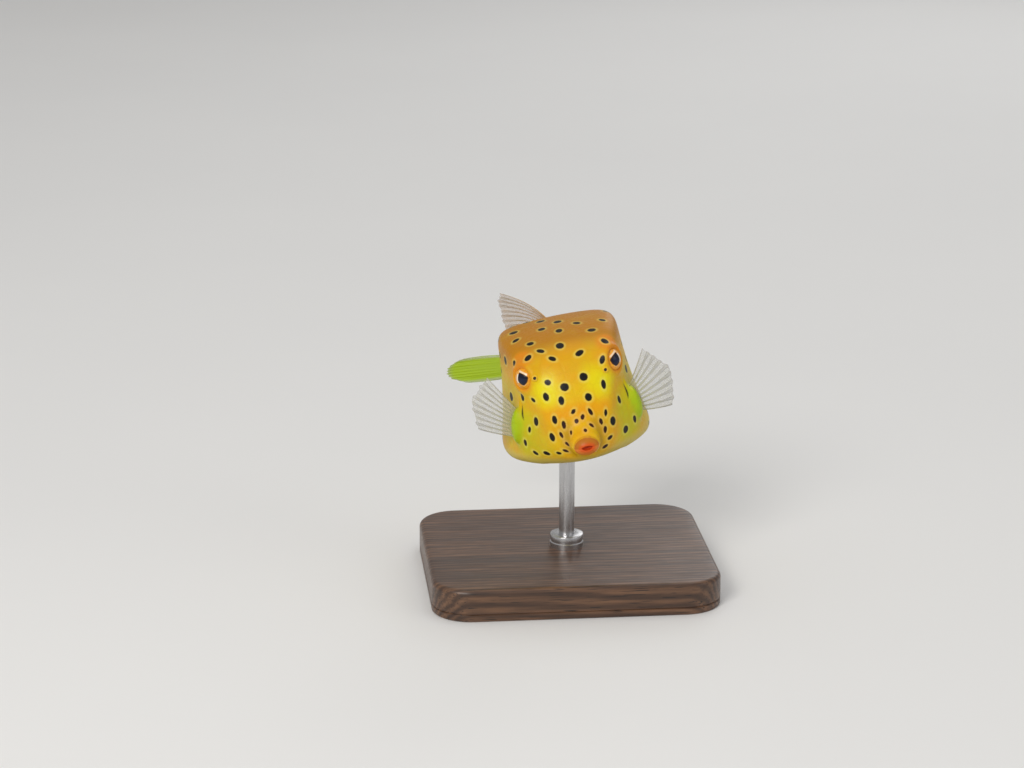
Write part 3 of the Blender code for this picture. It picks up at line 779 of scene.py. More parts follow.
@dataclass(frozen=True)
class BodyForm:
    """The rigid box, muzzle, lips and tail root, as rings from the throat back.

    Each section is a distance behind the lips, top, bottom, half width at the upper
    ridges, half width at the lower ridges, and squareness.
    """

    sections: tuple[tuple[float, ...], ...] = (
        (1.15, -3.85, -6.95, 1.9, 1.9, 2.0),
        (1.6, -3.45, -7.2, 2.1, 2.1, 2.0),
        (2.5, -3.0, -7.5, 2.3, 2.3, 2.0),
        (3.35, -2.0, -7.95, 2.8, 2.75, 2.05),
        (4.4, 1.0, -8.6, 4.8, 4.8, 2.5),
        (5.8, 4.2, -9.2, 5.9, 6.4, 3.1),
        (8.0, 7.0, -9.8, 6.9, 8.2, 4.8),
        (11.0, 8.5, -10.2, 8.0, 10.1, 8.0),
        (15.0, 9.2, -10.4, 8.8, 11.5, 12.0),
        (19.5, 9.3, -10.2, 9.2, 11.9, 13.0),
        (24.0, 8.7, -9.5, 8.7, 11.1, 9.5),
        (28.0, 6.8, -7.6, 7.1, 8.7, 5.4),
        (30.6, 4.2, -4.9, 4.6, 5.4, 3.0),
        (31.8, 2.4, -2.9, 2.3, 2.6, 2.2),
    )
    back_crown: float = 0.6
    belly_crown: float = 0.7
    flank_hollow: float = 0.6
    crown_depths: Pair = (4.0, 16.0)
    mouth_height: float = -5.45
    mouth_parting: float = 0.33
    mouth_half_width: float = 0.78
    mouth_line: float = 0.25
    mouth_flatness: Pair = (0.8, 0.15)
    lip_roundness: float = 0.75
    lip_half_width: float = 1.86
    lip_heights: Pair = (1.36, 1.28)
    lip_front: float = -0.24
    lip_corner_front: float = 0.04
    lip_back: float = 0.88
    throat_depth: float = 0.55
    lip_thickness: float = 0.3
    peduncle_bend: float = 84.0
    peduncle_bend_radius: float = 3.4
    peduncle_straights: Pair = (0.9, 3.5)
    peduncle_heights: Pair = (-0.35, -1.8)
    peduncle_root: Pair = (2.0, 2.35)
    peduncle_end: Pair = (0.62, 1.8)
    gap: float = 0.3

    def section(self, station: float) -> np.ndarray:
        """Read a smooth section between the listed ones.

        Args:
            station: the place along the list, whole at a listed section.

        Returns:
            The section's six numbers.
        """
        rows = np.array(self.sections)
        index = int(np.clip(math.floor(station), 0, len(rows) - 2))
        part = station - index
        start, end = rows[index], rows[index + 1]
        before = rows[max(index - 1, 0)]
        after = rows[min(index + 2, len(rows) - 1)]
        first = (end - before) / (2 if index > 0 else 1)
        last = (after - start) / (2 if index < len(rows) - 2 else 1)
        return (start * (1 + 2 * part) * (1 - part) ** 2 + first * part * (1 - part) ** 2
                + end * part ** 2 * (3 - 2 * part) + last * part ** 2 * (part - 1))

    @cached_property
    def profile(self) -> np.ndarray:
        """List fine sections along the whole body, to read between."""
        return np.array([self.section(s) for s in np.linspace(0, len(self.sections) - 1, 400)])

    def back_height(self, distance: float, up: int) -> float:
        """Give the midline's height on the back (up is 1) or the belly (up is -1)."""
        return float(np.interp(distance, self.profile[:, 0], self.profile[:, 1 if up > 0 else 2]))

    def body_ring(self, station: float, spread: np.ndarray) -> np.ndarray:
        """Trace one section: four ridges, crowned back and belly, hollow flanks.

        Args:
            station: the place along the list of sections.
            spread: how far round each point lies, from 0 at the belly's middle to 1.

        Returns:
            The ring's points.
        """
        distance, top, bottom, upper, lower, square = self.section(station)
        shallow, deep = self.crown_depths
        size = np.clip((top - bottom - shallow) / (deep - shallow), 0, 1)
        across, along = box_outline(square)
        high = top - self.back_crown * size
        low = bottom + self.belly_crown * size
        width = (lower + (upper - lower) * (along + 1) / 2
                 - self.flank_hollow * size * (1 - along ** 2))
        crown = np.where(along > 0, self.back_crown, -self.belly_crown) * size
        x = across * width
        z = ((high + low) / 2 + (high - low) / 2 * along
             + crown * (1 - across ** 2) * np.abs(along))
        travel = running_total(np.hypot(np.diff(x), np.diff(z)))
        travel /= travel[-1]
        return np.column_stack((np.interp(spread, travel, x), np.full(len(spread), distance),
                                np.interp(spread, travel, z)))

    def mouth_ring(self, part: float, spread: np.ndarray) -> np.ndarray:
        """Trace one ring of the mouth: throat, inner lips, the lips' crest, outer crease.

        Args:
            part: how far out, 0 in the throat, mouth_line there, 1 at the outer crease.
            spread: how far round each point lies, as in body_ring.

        Returns:
            The ring's points.
        """
        base = self.body_ring(0.0, spread)
        middle = (self.sections[0][1] + self.sections[0][2]) / 2
        angle = np.arctan2((base[:, 2] - middle) * self.sections[0][3],
                           base[:, 0] * (self.sections[0][1] - middle))
        cosine, sine = np.cos(angle), np.sin(angle)
        tall = np.where(sine > 0, *self.lip_heights)
        arch, square = self.mouth_flatness
        front = (self.lip_corner_front
                 + (self.lip_front - self.lip_corner_front) * np.abs(sine) ** arch)
        inner = np.column_stack((self.mouth_half_width * cosine,
                                 self.mouth_parting * sine * np.abs(sine) ** square))
        outer = np.column_stack((self.lip_half_width * cosine, sine * tall))
        if part < self.mouth_line:
            depth = 1 - part / self.mouth_line
            flat = inner * (1 + 0.12 * math.sin(math.pi * depth) - 0.5 * depth ** 2)
            y = front + self.lip_thickness + (self.throat_depth - front
                                              - self.lip_thickness) * depth
        else:
            lip = (part - self.mouth_line) / (1 - self.mouth_line)
            flat = inner + (outer - inner) * (1 - math.cos(math.pi * lip)) / 2
            start = front + self.lip_thickness
            rise = math.sin(math.pi * lip) ** self.lip_roundness
            y = start + (self.lip_back - start) * ease(lip, 0.0, 1.0) + (front - start) * rise
            y = np.maximum(y, front)
        return np.column_stack((flat[:, 0], y, flat[:, 1] + self.mouth_height))

    def peduncle_path(self, part: float) -> tuple[np.ndarray, np.ndarray]:
        """Follow the tail root: straight, a strong bend to the fish's right, straight.

        Args:
            part: how far along, from 0 at the carapace to 1 at the tail fin.

        Returns:
            The centre and the heading there.
        """
        arc = math.radians(self.peduncle_bend) * self.peduncle_bend_radius
        before, after = self.peduncle_straights
        travel = part * (before + arc + after)
        turned = np.clip((travel - before) / self.peduncle_bend_radius, 0,
                         math.radians(self.peduncle_bend))
        beyond = max(travel - before - arc, 0.0)
        radius = self.peduncle_bend_radius
        x = -radius * (1 - math.cos(turned)) - beyond * math.sin(turned)
        y = (self.sections[-1][0] + self.gap + min(travel, before)
             + radius * math.sin(turned) + beyond * math.cos(turned))
        z = mix(*self.peduncle_heights, float(ease(part, 0.0, 1.0)))
        return np.array((x, y, z)), np.array((-math.sin(turned), math.cos(turned), 0.0))

    def peduncle_ring(self, part: float, spread: np.ndarray) -> np.ndarray:
        """Trace one ring of the tail root, an oval that narrows to the tail fin.

        Args:
            part: how far along, from 0 at the carapace to 1 at the tail fin.
            spread: how far round each point lies, as in body_ring.

        Returns:
            The ring's points.
        """
        centre, heading = self.peduncle_path(part)
        sideways = np.array((heading[1], -heading[0], 0.0))
        slim = part ** 0.8
        half_width = mix(self.peduncle_root[0], self.peduncle_end[0], slim)
        half_height = mix(self.peduncle_root[1], self.peduncle_end[1], slim)
        base = self.body_ring(len(self.sections) - 1.0, spread)
        middle = (self.sections[-1][1] + self.sections[-1][2]) / 2
        angle = np.arctan2(base[:, 2] - middle, base[:, 0])
        tip = math.sqrt(max(1 - float(ease(part, 0.93, 1.02)) ** 2, 0.05))
        return (centre + np.outer(np.cos(angle) * half_width * tip, sideways)
                + np.outer(np.sin(angle) * half_height * tip, (0, 0, 1)))

    def ring(self, place: float, spread: np.ndarray) -> np.ndarray:
        """Trace the ring at a place along the whole fish.

        Args:
            place: 0 to 1 in the mouth, then a section's station each, then the tail root.
            spread: how far round each point lies.

        Returns:
            The ring's points.
        """
        last = len(self.sections) - 1
        if place < 1:
            return self.mouth_ring(place, spread)
        if place <= 1 + last:
            return self.body_ring(place - 1, spread)
        return self.peduncle_ring(min(place - 1 - last, 1.0), spread)


def box_outline(square: float) -> tuple[np.ndarray, np.ndarray]:
    """Trace a rounded square, evenly along its sides, from the middle of its foot.

    Args:
        square: 2 for a circle, larger for sharper corners.

    Returns:
        The points' places across and up, each from -1 to 1.
    """
    corner = math.sqrt(0.5) ** (2 / square)
    rising = np.linspace(0, corner, 90)
    other = (1 - rising ** square) ** (1 / square)
    first = np.concatenate((rising, other[::-1][1:]))
    second = np.concatenate((other, rising[::-1][1:]))
    across = np.concatenate((first, second[1:], -first[1:], -second[1:]))
    along = np.concatenate((-second, first[1:], second[1:], -first[1:]))
    return across, along


@dataclass(frozen=True)
class Spot:
    """A dark oval spot on the skin: its centre and its half axes, in the fish's frame."""

    centre: np.ndarray
    long: np.ndarray
    short: np.ndarray

    def edge_distance(self, points: np.ndarray) -> np.ndarray:
        """Measure how far points are from the spot's edge.

        Args:
            points: the points, in the fish's frame.

        Returns:
            The distances, below nought inside the spot.
        """
        offset = points - self.centre
        size = math.sqrt(np.linalg.norm(self.long) * np.linalg.norm(self.short))
        outward = unit(np.cross(self.long, self.short)) / size
        parts = (offset @ self.long / (self.long @ self.long),
                 offset @ self.short / (self.short @ self.short), offset @ outward)
        return (np.linalg.norm(parts, axis=0) - 1) * size


@dataclass
class SpotPattern:
    """Where the spots are: those that the photograph shows, then the sides it hides.

    The seen ones are a pixel column and row of the photograph, the long and the short
    axis in pixels, and the long axis's tilt in degrees up from the picture's right. They
    are cast through its camera onto the skin.
    """

    crown: tuple[Oval, ...] = (
        (540.5, 321.5, 8.1, 3.0, 21), (557.5, 321.8, 7.3, 2.2, 11), (576.6, 323.0, 6.6, 2.0, 1),
        (602.1, 320.0, 6.6, 1.9, -9), (513.5, 332.8, 8.3, 3.8, 17), (541.5, 329.3, 6.4, 2.4, 14),
        (558.9, 330.7, 6.0, 3.4, 12), (591.6, 330.0, 7.3, 2.8, 7), (515.8, 340.5, 7.5, 2.4, 33),
        (530.3, 343.7, 6.2, 2.8, 15), (559.9, 345.7, 7.1, 5.3, 6), (604.8, 341.1, 7.2, 3.7, -23),
        (540.5, 351.1, 6.7, 3.1, -6), (579.4, 353.0, 7.5, 4.7, 30), (527.9, 358.0, 7.3, 4.0, 42),
        (552.2, 358.7, 6.6, 3.8, -15),
    )
    face: tuple[Oval, ...] = (
        (602.3, 359.6, 7.5, 4.5, 75), (505.3, 360.6, 8.0, 2.9, -83), (514.2, 363.4, 7.4, 2.4, -77),
        (547.7, 382.5, 5.5, 4.7, -12), (564.6, 387.1, 7.6, 7.0, 6), (583.6, 376.8, 7.2, 7.1, -33),
        (603.6, 384.3, 7.9, 4.0, -81), (626.1, 368.7, 7.4, 3.6, -80), (511.3, 396.6, 9.1, 4.3, -75),
        (522.5, 397.1, 8.2, 2.3, -77), (533.2, 400.0, 6.7, 2.3, -40), (546.0, 396.9, 7.3, 4.9, -71),
        (561.3, 400.7, 7.6, 4.9, -82), (588.4, 397.1, 6.9, 6.1, -59), (619.1, 399.5, 9.0, 2.5, -71),
        (613.1, 420.8, 8.0, 4.5, -88), (634.7, 418.9, 6.9, 2.7, -79), (536.1, 421.5, 9.1, 3.6, -83),
        (554.6, 419.8, 7.3, 4.2, -79), (625.7, 429.3, 6.8, 3.8, 79), (529.5, 429.6, 8.7, 2.2, 84),
        (552.1, 437.2, 7.4, 4.2, -68), (525.4, 442.7, 8.4, 2.4, -80), (535.6, 453.0, 5.7, 2.2, -37),
        (546.6, 453.3, 7.2, 2.8, -18), (558.8, 453.2, 4.2, 1.9, -15), (563.8, 424.8, 6.9, 3.3, -79),
    )
    muzzle: tuple[Oval, ...] = (
        (573.3, 411.6, 4.6, 2.9, 53), (590.4, 411.7, 6.4, 3.0, -58), (605.8, 412.6, 5.8, 2.4, -89),
        (582.6, 416.9, 4.3, 3.0, 81), (576.6, 421.1, 3.7, 3.3, 90), (601.0, 421.4, 5.4, 2.7, -72),
        (591.6, 425.3, 4.5, 2.2, -37), (585.4, 430.3, 2.8, 2.4, -28), (605.3, 429.4, 5.5, 2.7, 90),
        (571.1, 432.7, 3.7, 1.4, -90), (561.3, 435.0, 6.6, 2.4, -63), (610.2, 437.4, 4.9, 2.5, 45),
        (567.5, 444.1, 5.4, 1.8, -46), (565.7, 450.8, 5.9, 1.9, -19), (605.2, 446.4, 5.2, 2.2, 38),
    )
    largest: float = 1.22
    slimness: float = 1.2
    hidden_spacing: float = 2.75
    hidden_widths: Pair = (0.8, 1.1)
    belly_spacing: float = 3.3
    tail_spacing: float = 2.0
    tail_width: float = 0.5
    tail_start: float = 31.5
    hidden_from: float = 29.0
    face_depth: float = 5.0
    eye_clearance: float = 3.1
    tries: int = 9000
    seed: int = 11

    def seen(self, camera: PhotoCamera, tree: BVHTree, stand: FishFrame) -> list[Spot]:
        """Cast the photograph's spots onto the skin.

        Args:
            camera: the photograph's camera.
            tree: the skin, in the model's frame.
            stand: the fish's frame.

        Returns:
            The spots that meet the skin.
        """
        found = []
        for column, row, long, short, tilt in self.crown + self.face + self.muzzle:
            origin, direction = camera.ray(column, row)
            place, normal = tree.ray_cast(origin, direction)[:2]
            if place is None:
                LOG.warning("spot at %.1f, %.1f misses the skin", column, row)
                continue
            turn = math.radians(tilt)
            ends = []
            for right, down, size in ((math.cos(turn), -math.sin(turn), long),
                                      (math.sin(turn), math.cos(turn), short)):
                toward = camera.ray(column + right * size / 2, row + down * size / 2)[1]
                reach = (place - origin).dot(normal) / toward.dot(normal)
                ends.append(stand.unplace(origin + toward * reach) - stand.unplace(place))
            facing = abs(direction.dot(normal))
            found.append(Spot(stand.unplace(place), *self.half_axes(np.array(ends), facing)))
        return found

    def half_axes(self, ends: np.ndarray, facing: float) -> np.ndarray:
        """Turn two ends of an oval into its half axes, held to the size real spots have.

        Args:
            ends: two conjugate half diameters.
            facing: how squarely the camera sees the spot, from 0 to 1; a blurred edge
                stretches one that is seen at a slant.

        Returns:
            The long and the short half axis.
        """
        sizes, directions = np.linalg.svd(ends, full_matrices=False)[1:]
        long = min(sizes[0], sizes[1] * (1 + self.slimness * facing), self.largest / 2)
        return directions * np.array((long, min(sizes[1], long)))[:, None]

    def hidden(self, seen: list[Spot], points: np.ndarray, normals: np.ndarray,
               toward_camera: np.ndarray, eyes: list[np.ndarray]) -> list[Spot]:
        """Strew spots over the sides that the photograph doesn't show, evenly spaced.

        Args:
            seen: the spots that are there already.
            points: places on the skin to choose from, spread evenly over its area.
            normals: the skin's outward directions there.
            toward_camera: the direction from the fish to the camera.
            eyes: the eyes' centres.

        Returns:
            The further spots.
        """
        random = np.random.default_rng(self.seed)
        centres = [spot.centre for spot in seen]
        added = []
        for index in random.permutation(len(points))[:self.tries]:
            place, normal = points[index], normals[index]
            tail = place[1] > self.tail_start
            spacing = self.tail_spacing if tail else mix(
                self.hidden_spacing, self.belly_spacing, max(0.0, -normal[2]))
            spacing *= random.uniform(0.92, 1.1)
            if normal @ toward_camera > 0.13 and place[1] < self.hidden_from:
                continue
            to_eye = min(np.linalg.norm(place - eye) for eye in eyes)
            if place[1] < self.face_depth or to_eye < self.eye_clearance:
                continue
            if np.linalg.norm(np.array(centres) - place, axis=1).min() < spacing:
                continue
            width = self.tail_width if tail else random.uniform(*self.hidden_widths)
            half = width / 2 * (1 - 0.25 * max(0.0, -normal[2]))
            longer = random.uniform(1.0, 1.16)
            along = unit(np.cross(normal, random.normal(size=3)))
            centres.append(place)
            added.append(Spot(place, along * half * longer,
                              np.cross(normal, along) * half / longer))
        return added


@dataclass
class Skin:
    """One unbroken skin from the mouth's inside to the tail fin's root."""

    form: BodyForm
    eye: EyePlan
    spots: SpotPattern
    rows: int = 262
    columns: int = 340
    eye_spread: float = 0.345
    eye_spread_width: float = 0.036
    eye_crowding: float = 1.4
    mouth_crowding: float = 3.2
    face_crowding: float = 1.7
    lobe_centre: Triple = (8.75, 10.75, -3.3)
    lobe_half: Triple = (1.25, 1.6, 2.9)
    lobe_lean: float = 10.0
    lobe_skirt: Pair = (0.97, 1.8)
    lobe_reach: float = 2.5
    lobe_softness: float = 0.42
    lobe_tint: Pair = (1.36, 0.95)
    slit_ends: tuple[Triple, Triple] = ((7.78, 9.7, 0.35), (7.5, 8.75, -2.2))
    slit_depth: float = 0.16
    slit_width: float = 0.2
    slit_taper: float = 0.10
    flap_height: float = 0.16
    flap_width: float = 0.42
    flap_shift: float = 0.55
    brow: Triple = (6.5, 9.7, 6.3)
    shelf: Triple = (4.1, 5.8, 2.5)
    shelf_width: float = 2.7
    orbit_width: float = 0.35
    muzzle_centre: Triple = (0.0, 1.0, -5.0)
    muzzle_zone: Pair = (6.0, 3.4)
    tail_zone: Pair = (30.8, 33.5)
    belly_zone: Pair = (-6.6, -9.4)
    lime_shares: tuple[float, ...] = (0.36, 0.40, 0.88, 0.95)
    fin_mound: float = 0.3
    fin_mound_width: float = 0.75

    def spread(self) -> np.ndarray:
        """Space the columns round the body, closer over the eyes."""
        fine = np.linspace(0, 1, 4001)
        crowd = np.ones_like(fine)
        for middle in (self.eye_spread, 1 - self.eye_spread):
            crowd += self.eye_crowding * np.exp(-((fine - middle) / self.eye_spread_width) ** 2)
        travel = running_total((crowd[1:] + crowd[:-1]) / 2)
        return np.interp(np.arange(self.columns) / self.columns, travel / travel[-1], fine)

    def places(self) -> np.ndarray:
        """Space the rings along the fish, closer at the lips and the eyes."""
        last = len(self.form.sections) + 1.0
        fine = np.linspace(0, last, 1101)
        coarse = np.linspace(0, 1, 41)[:-1]
        rings = [self.form.ring(place, coarse) for place in fine]
        steps = [np.linalg.norm(after - before, axis=1).mean()
                 for before, after in zip(rings, rings[1:])]
        crowd = np.ones(len(steps))
        crowd[fine[:-1] < 1.2] = self.mouth_crowding
        distance = np.array([ring[:, 1].mean() for ring in rings])[:-1]
        crowd += (self.face_crowding - 1) * (np.exp(-((distance - 9.2) / 3.2) ** 4)
                                             * (fine[:-1] > 1))
        travel = running_total(np.array(steps) * crowd)
        return np.interp(np.linspace(0, travel[-1], self.rows), travel, fine)

    def raise_orbits(self, points: np.ndarray) -> np.ndarray:
        """Swell the skin to a dome round each eye, level it, and turn it in at the eye.

        Args:
            points: the skin's points.

        Returns:
            The points, with both domes.
        """
        plan = self.eye
        for side in Side:
            axis = unit(side.flip(plan.axis))
            centre = side.flip(plan.centre)
            offset = points - centre
            reach = np.linalg.norm(offset, axis=1, keepdims=True)
            radius = plan.dome_radius
            offset = offset / reach * (radius + soft_above(reach - radius, plan.dome_softness))
            height = offset @ axis
            near = np.linalg.norm(offset, axis=1) < 2 * radius
            level = height - soft_above(height - plan.dome_level, plan.level_softness)
            away = np.linalg.norm(offset - np.outer(height, axis), axis=1)
            ball = np.sqrt(np.maximum(plan.radius ** 2 - away ** 2, 0.0))
            lid = ball - plan.lid_sink + plan.lid_rise * ease(
                away, plan.opening, plan.opening + plan.lid_width)
            level = level - soft_above(level - lid, plan.lid_softness)
            points = centre + offset + np.outer(np.where(near, level - height, 0.0), axis)
        return points

    def raise_lobes(self, points: np.ndarray) -> tuple[np.ndarray, np.ndarray]:
        """Swell a fleshy lobe at each pectoral fin's root.

        Args:
            points: the skin's points.

        Returns:
            The swollen points, and from 0 to 1 how much of a lobe each one is.
        """
        amount = np.zeros(len(points))
        skirt, steepness = self.lobe_skirt
        widest, fade = self.lobe_tint
        for side in Side:
            lean = math.radians(self.lobe_lean)
            turn = (Matrix.Rotation(-lean * side.value, 3, "Y")
                    @ Matrix.Rotation(lean, 3, "X"))
            local = (points - side.flip(self.lobe_centre)) @ np.array(turn)
            across, up = local[:, 1] / self.lobe_half[1], local[:, 2] / self.lobe_half[2]
            reach = np.hypot(across, up)
            height = self.lobe_half[0] * (np.sqrt(np.maximum(1 - reach ** 2, 0))
                                          - steepness * np.maximum(reach - skirt, 0))
            outward = local[:, 0] * side.value
            near = (reach < self.lobe_reach) & (points[:, 0] * side.value > 4)
            lift = np.where(near, soft_above(height - outward, self.lobe_softness), 0.0)
            lift = np.where(lift < 0.002, 0.0, lift)
            local[:, 0] += lift * side.value
            points = local @ np.array(turn).T + side.flip(self.lobe_centre)
            amount = np.maximum(amount, ease(widest - reach, 0.0, fade) * near)
        return points, amount

    def slit_distance(self, points: np.ndarray) -> np.ndarray:
        """Measure from each point to the nearer gill slit.

        Args:
            points: the points, in the fish's frame.

        Returns:
            The distances, a little more towards each slit's ends.
        """
        nearest = np.full(len(points), 9.0)
        for side in Side:
            top, foot = [side.flip(end) for end in self.slit_ends]
            along = (foot - top)[1:]
            offset = (points - top)[:, 1:]
            part = np.clip(offset @ along / (along @ along), 0, 1)
            away = np.linalg.norm(offset - np.outer(part, along), axis=1)
            taper = self.slit_taper * np.abs(2 * part - 1) ** 2
            here = points[:, 0] * side.value > 5
            nearest = np.where(here, np.minimum(nearest, away + taper), nearest)
        return nearest

    @staticmethod
    def snout_crease_shade(points: np.ndarray) -> np.ndarray:
        """Weigh how deep in the crease between the snout and the cheeks each point lies, for the
        shade painted there.
        """
        x, y, z = points.T
        beside = ease(np.abs(x), 0.9, 2.2) * ease(z, -0.6, -2.6)
        return np.exp(-((y - 3.2) / 0.55) ** 2) * beside

    def raise_folds(self, points: np.ndarray) -> np.ndarray:
        """Sink the gill slits, raise the flap behind each, and mound the fins' roots.

        Args:
            points: the skin's points.

        Returns:
            The points, moved.
        """
        outward = np.sign(points[:, 0])
        slit = self.slit_distance(points)
        behind = self.slit_distance(points - (0.0, self.flap_shift, 0.0))
        shift = (self.flap_height * np.exp(-(behind / self.flap_width) ** 2)
                 - self.slit_depth * np.exp(-(slit / self.slit_width) ** 2))
        points = points + np.column_stack((shift * outward, 0 * shift, 0 * shift))
        for fin in (DORSAL, ANAL):
            start, end = fin.base
            window = ease(points[:, 1], start - 1.2, start) * ease(points[:, 1], end + 1.0, end)
            mound = self.fin_mound * np.exp(-(points[:, 0] / self.fin_mound_width) ** 2) * window
            points[:, 2] += np.where(points[:, 2] * fin.up > 0, mound * fin.up, 0.0)
        return points

    def surface(self) -> Surface:
        """Shape the skin, without its markings."""
        spread = self.spread()
        places = self.places()
        rings = np.array([self.form.ring(place, spread) for place in places])
        points = rings.reshape(-1, 3)
        points = np.vstack((points, rings[0].mean(axis=0), rings[-1].mean(axis=0)))
        points = self.raise_orbits(points)
        points, lobe = self.raise_lobes(points)
        points = self.raise_folds(points)
        mouth = np.append(np.repeat(np.clip(places, 0, 2), self.columns), (0.0, 2.0))
        values = {Zone.MOUTH.value: mouth, "lobe": lobe}
        return Surface(points, tube_faces(self.rows, self.columns), values)

    def mark(self, surface: Surface, spots: list[Spot]) -> None:
        """Give the skin's points the values that its finish reads.

        Args:
            surface: the shaped skin.
            spots: every spot on it.
        """
        points = surface.points
        x, y, z = points.T
        nearest = np.full(len(points), 3.0)
        for spot in spots:
            nearest = np.minimum(nearest, spot.edge_distance(points))
        outside = ease(surface.values[Zone.MOUTH.value], 1.0, 1.15)
        lobe = surface.values.pop("lobe")
        nearest = np.where(outside > 0.5, np.maximum(nearest, lobe * 3 - 1), 3.0)
        side = np.abs(x) / 9.0
        flank = ease(side, 0.62, 1.0) * ease(z, 6.0, 1.0) * ease(z, -9.8, -6.0)
        tail = ease(y, *self.tail_zone)
        orbit = np.full(len(points), 9.0)
        lemon = 0.0
        for half in Side:
            away = np.linalg.norm(points - half.flip(self.eye.centre), axis=1)
            shelf = np.linalg.norm(points - half.flip(self.shelf), axis=1)
            brow = np.linalg.norm(points - half.flip(self.brow), axis=1)
            orbit = np.minimum(orbit, np.minimum(away - self.orbit_width, brow))
            lemon = lemon + np.exp(-(shelf / self.shelf_width) ** 2)
        cheek = ease(np.abs(x), 3.4, 7.0) * ease(y, 12, 6) * ease(z, 1.5, -2.5)
        muzzle = np.linalg.norm(points - self.muzzle_centre, axis=1)
        front = ease(y, 8.0, 6.0) * ease(np.abs(x), 6.4, 4.6)
        surface.values.update({
            Zone.SPOT.value: nearest,
            Zone.WARMTH.value: ease(muzzle, *self.muzzle_zone),
            Zone.OCHRE.value: ease(z, 3.8, 9.4) * ease(y, 6.4, 14.5) * (1 - tail)
            + 0.30 * ease(z, 0.0, 6.0),
            Zone.BLUSH.value: 0.75 * np.exp(-((z + 0.6) / 1.5) ** 2) * front,
            Zone.LEMON.value: lemon,
            Zone.LIME.value: np.clip(sum(share * where for share, where in zip(
                self.lime_shares, (flank, cheek, lobe, tail))), 0, 1),
            Zone.CREAM.value: ease(z, *self.belly_zone) * (1 - tail) * (1 - lobe),
            Zone.ORBIT.value: orbit,
            # where the crease's painted shade lies
            Zone.FOLD.value: self.snout_crease_shade(points),
            # distance to the gill slits, for their painted shade
            Zone.SLIT.value: self.slit_distance(points),
            Zone.LOWER.value: ease(z, self.form.mouth_height + 0.1,
                                   self.form.mouth_height - 0.1),
        })

    def build(self, stand: FishFrame, camera: PhotoCamera) -> bpy.types.Object:
        """Build the skin with its markings.

        Args:
            stand: the fish's frame.
            camera: the photograph's camera, which casts the seen spots.

        Returns:
            The finished piece.
        """
        surface = self.surface()
        placed = stand.place(surface.points)
        tree = BVHTree.FromPolygons(placed.tolist(), surface.faces)
        seen = self.spots.seen(camera, tree, stand)
        corners = np.array([face[:4] for face in surface.faces if len(face) == 4])
        first, second, third, fourth = [surface.points[corners[:, n]] for n in range(4)]
        cross = np.cross(third - first, fourth - second)
        area = np.linalg.norm(cross, axis=1)
        middles = (first + second + third + fourth) / 4
        normals = cross / np.maximum(area, 1e-9)[:, None]
        outward = np.sign(((middles - (0, 17, 0)) * normals).sum(axis=1))
        random = np.random.default_rng(self.spots.seed)
        chosen = random.choice(len(area), 40000, p=area / area.sum())
        toward = unit(stand.unplace(Vector(camera.place) * MM) - (0, 10, 0))
        hidden = self.spots.hidden(seen, middles[chosen],
                                   (normals * outward[:, None])[chosen], toward,
                                   [side.flip(self.eye.centre) for side in Side])
        self.mark(surface, seen + hidden)
        LOG.info("skin: %d points, %d seen and %d hidden spots", len(surface.points),
                 len(seen), len(hidden))
        return surface.to_object("skin", SkinFinish().build(), stand)


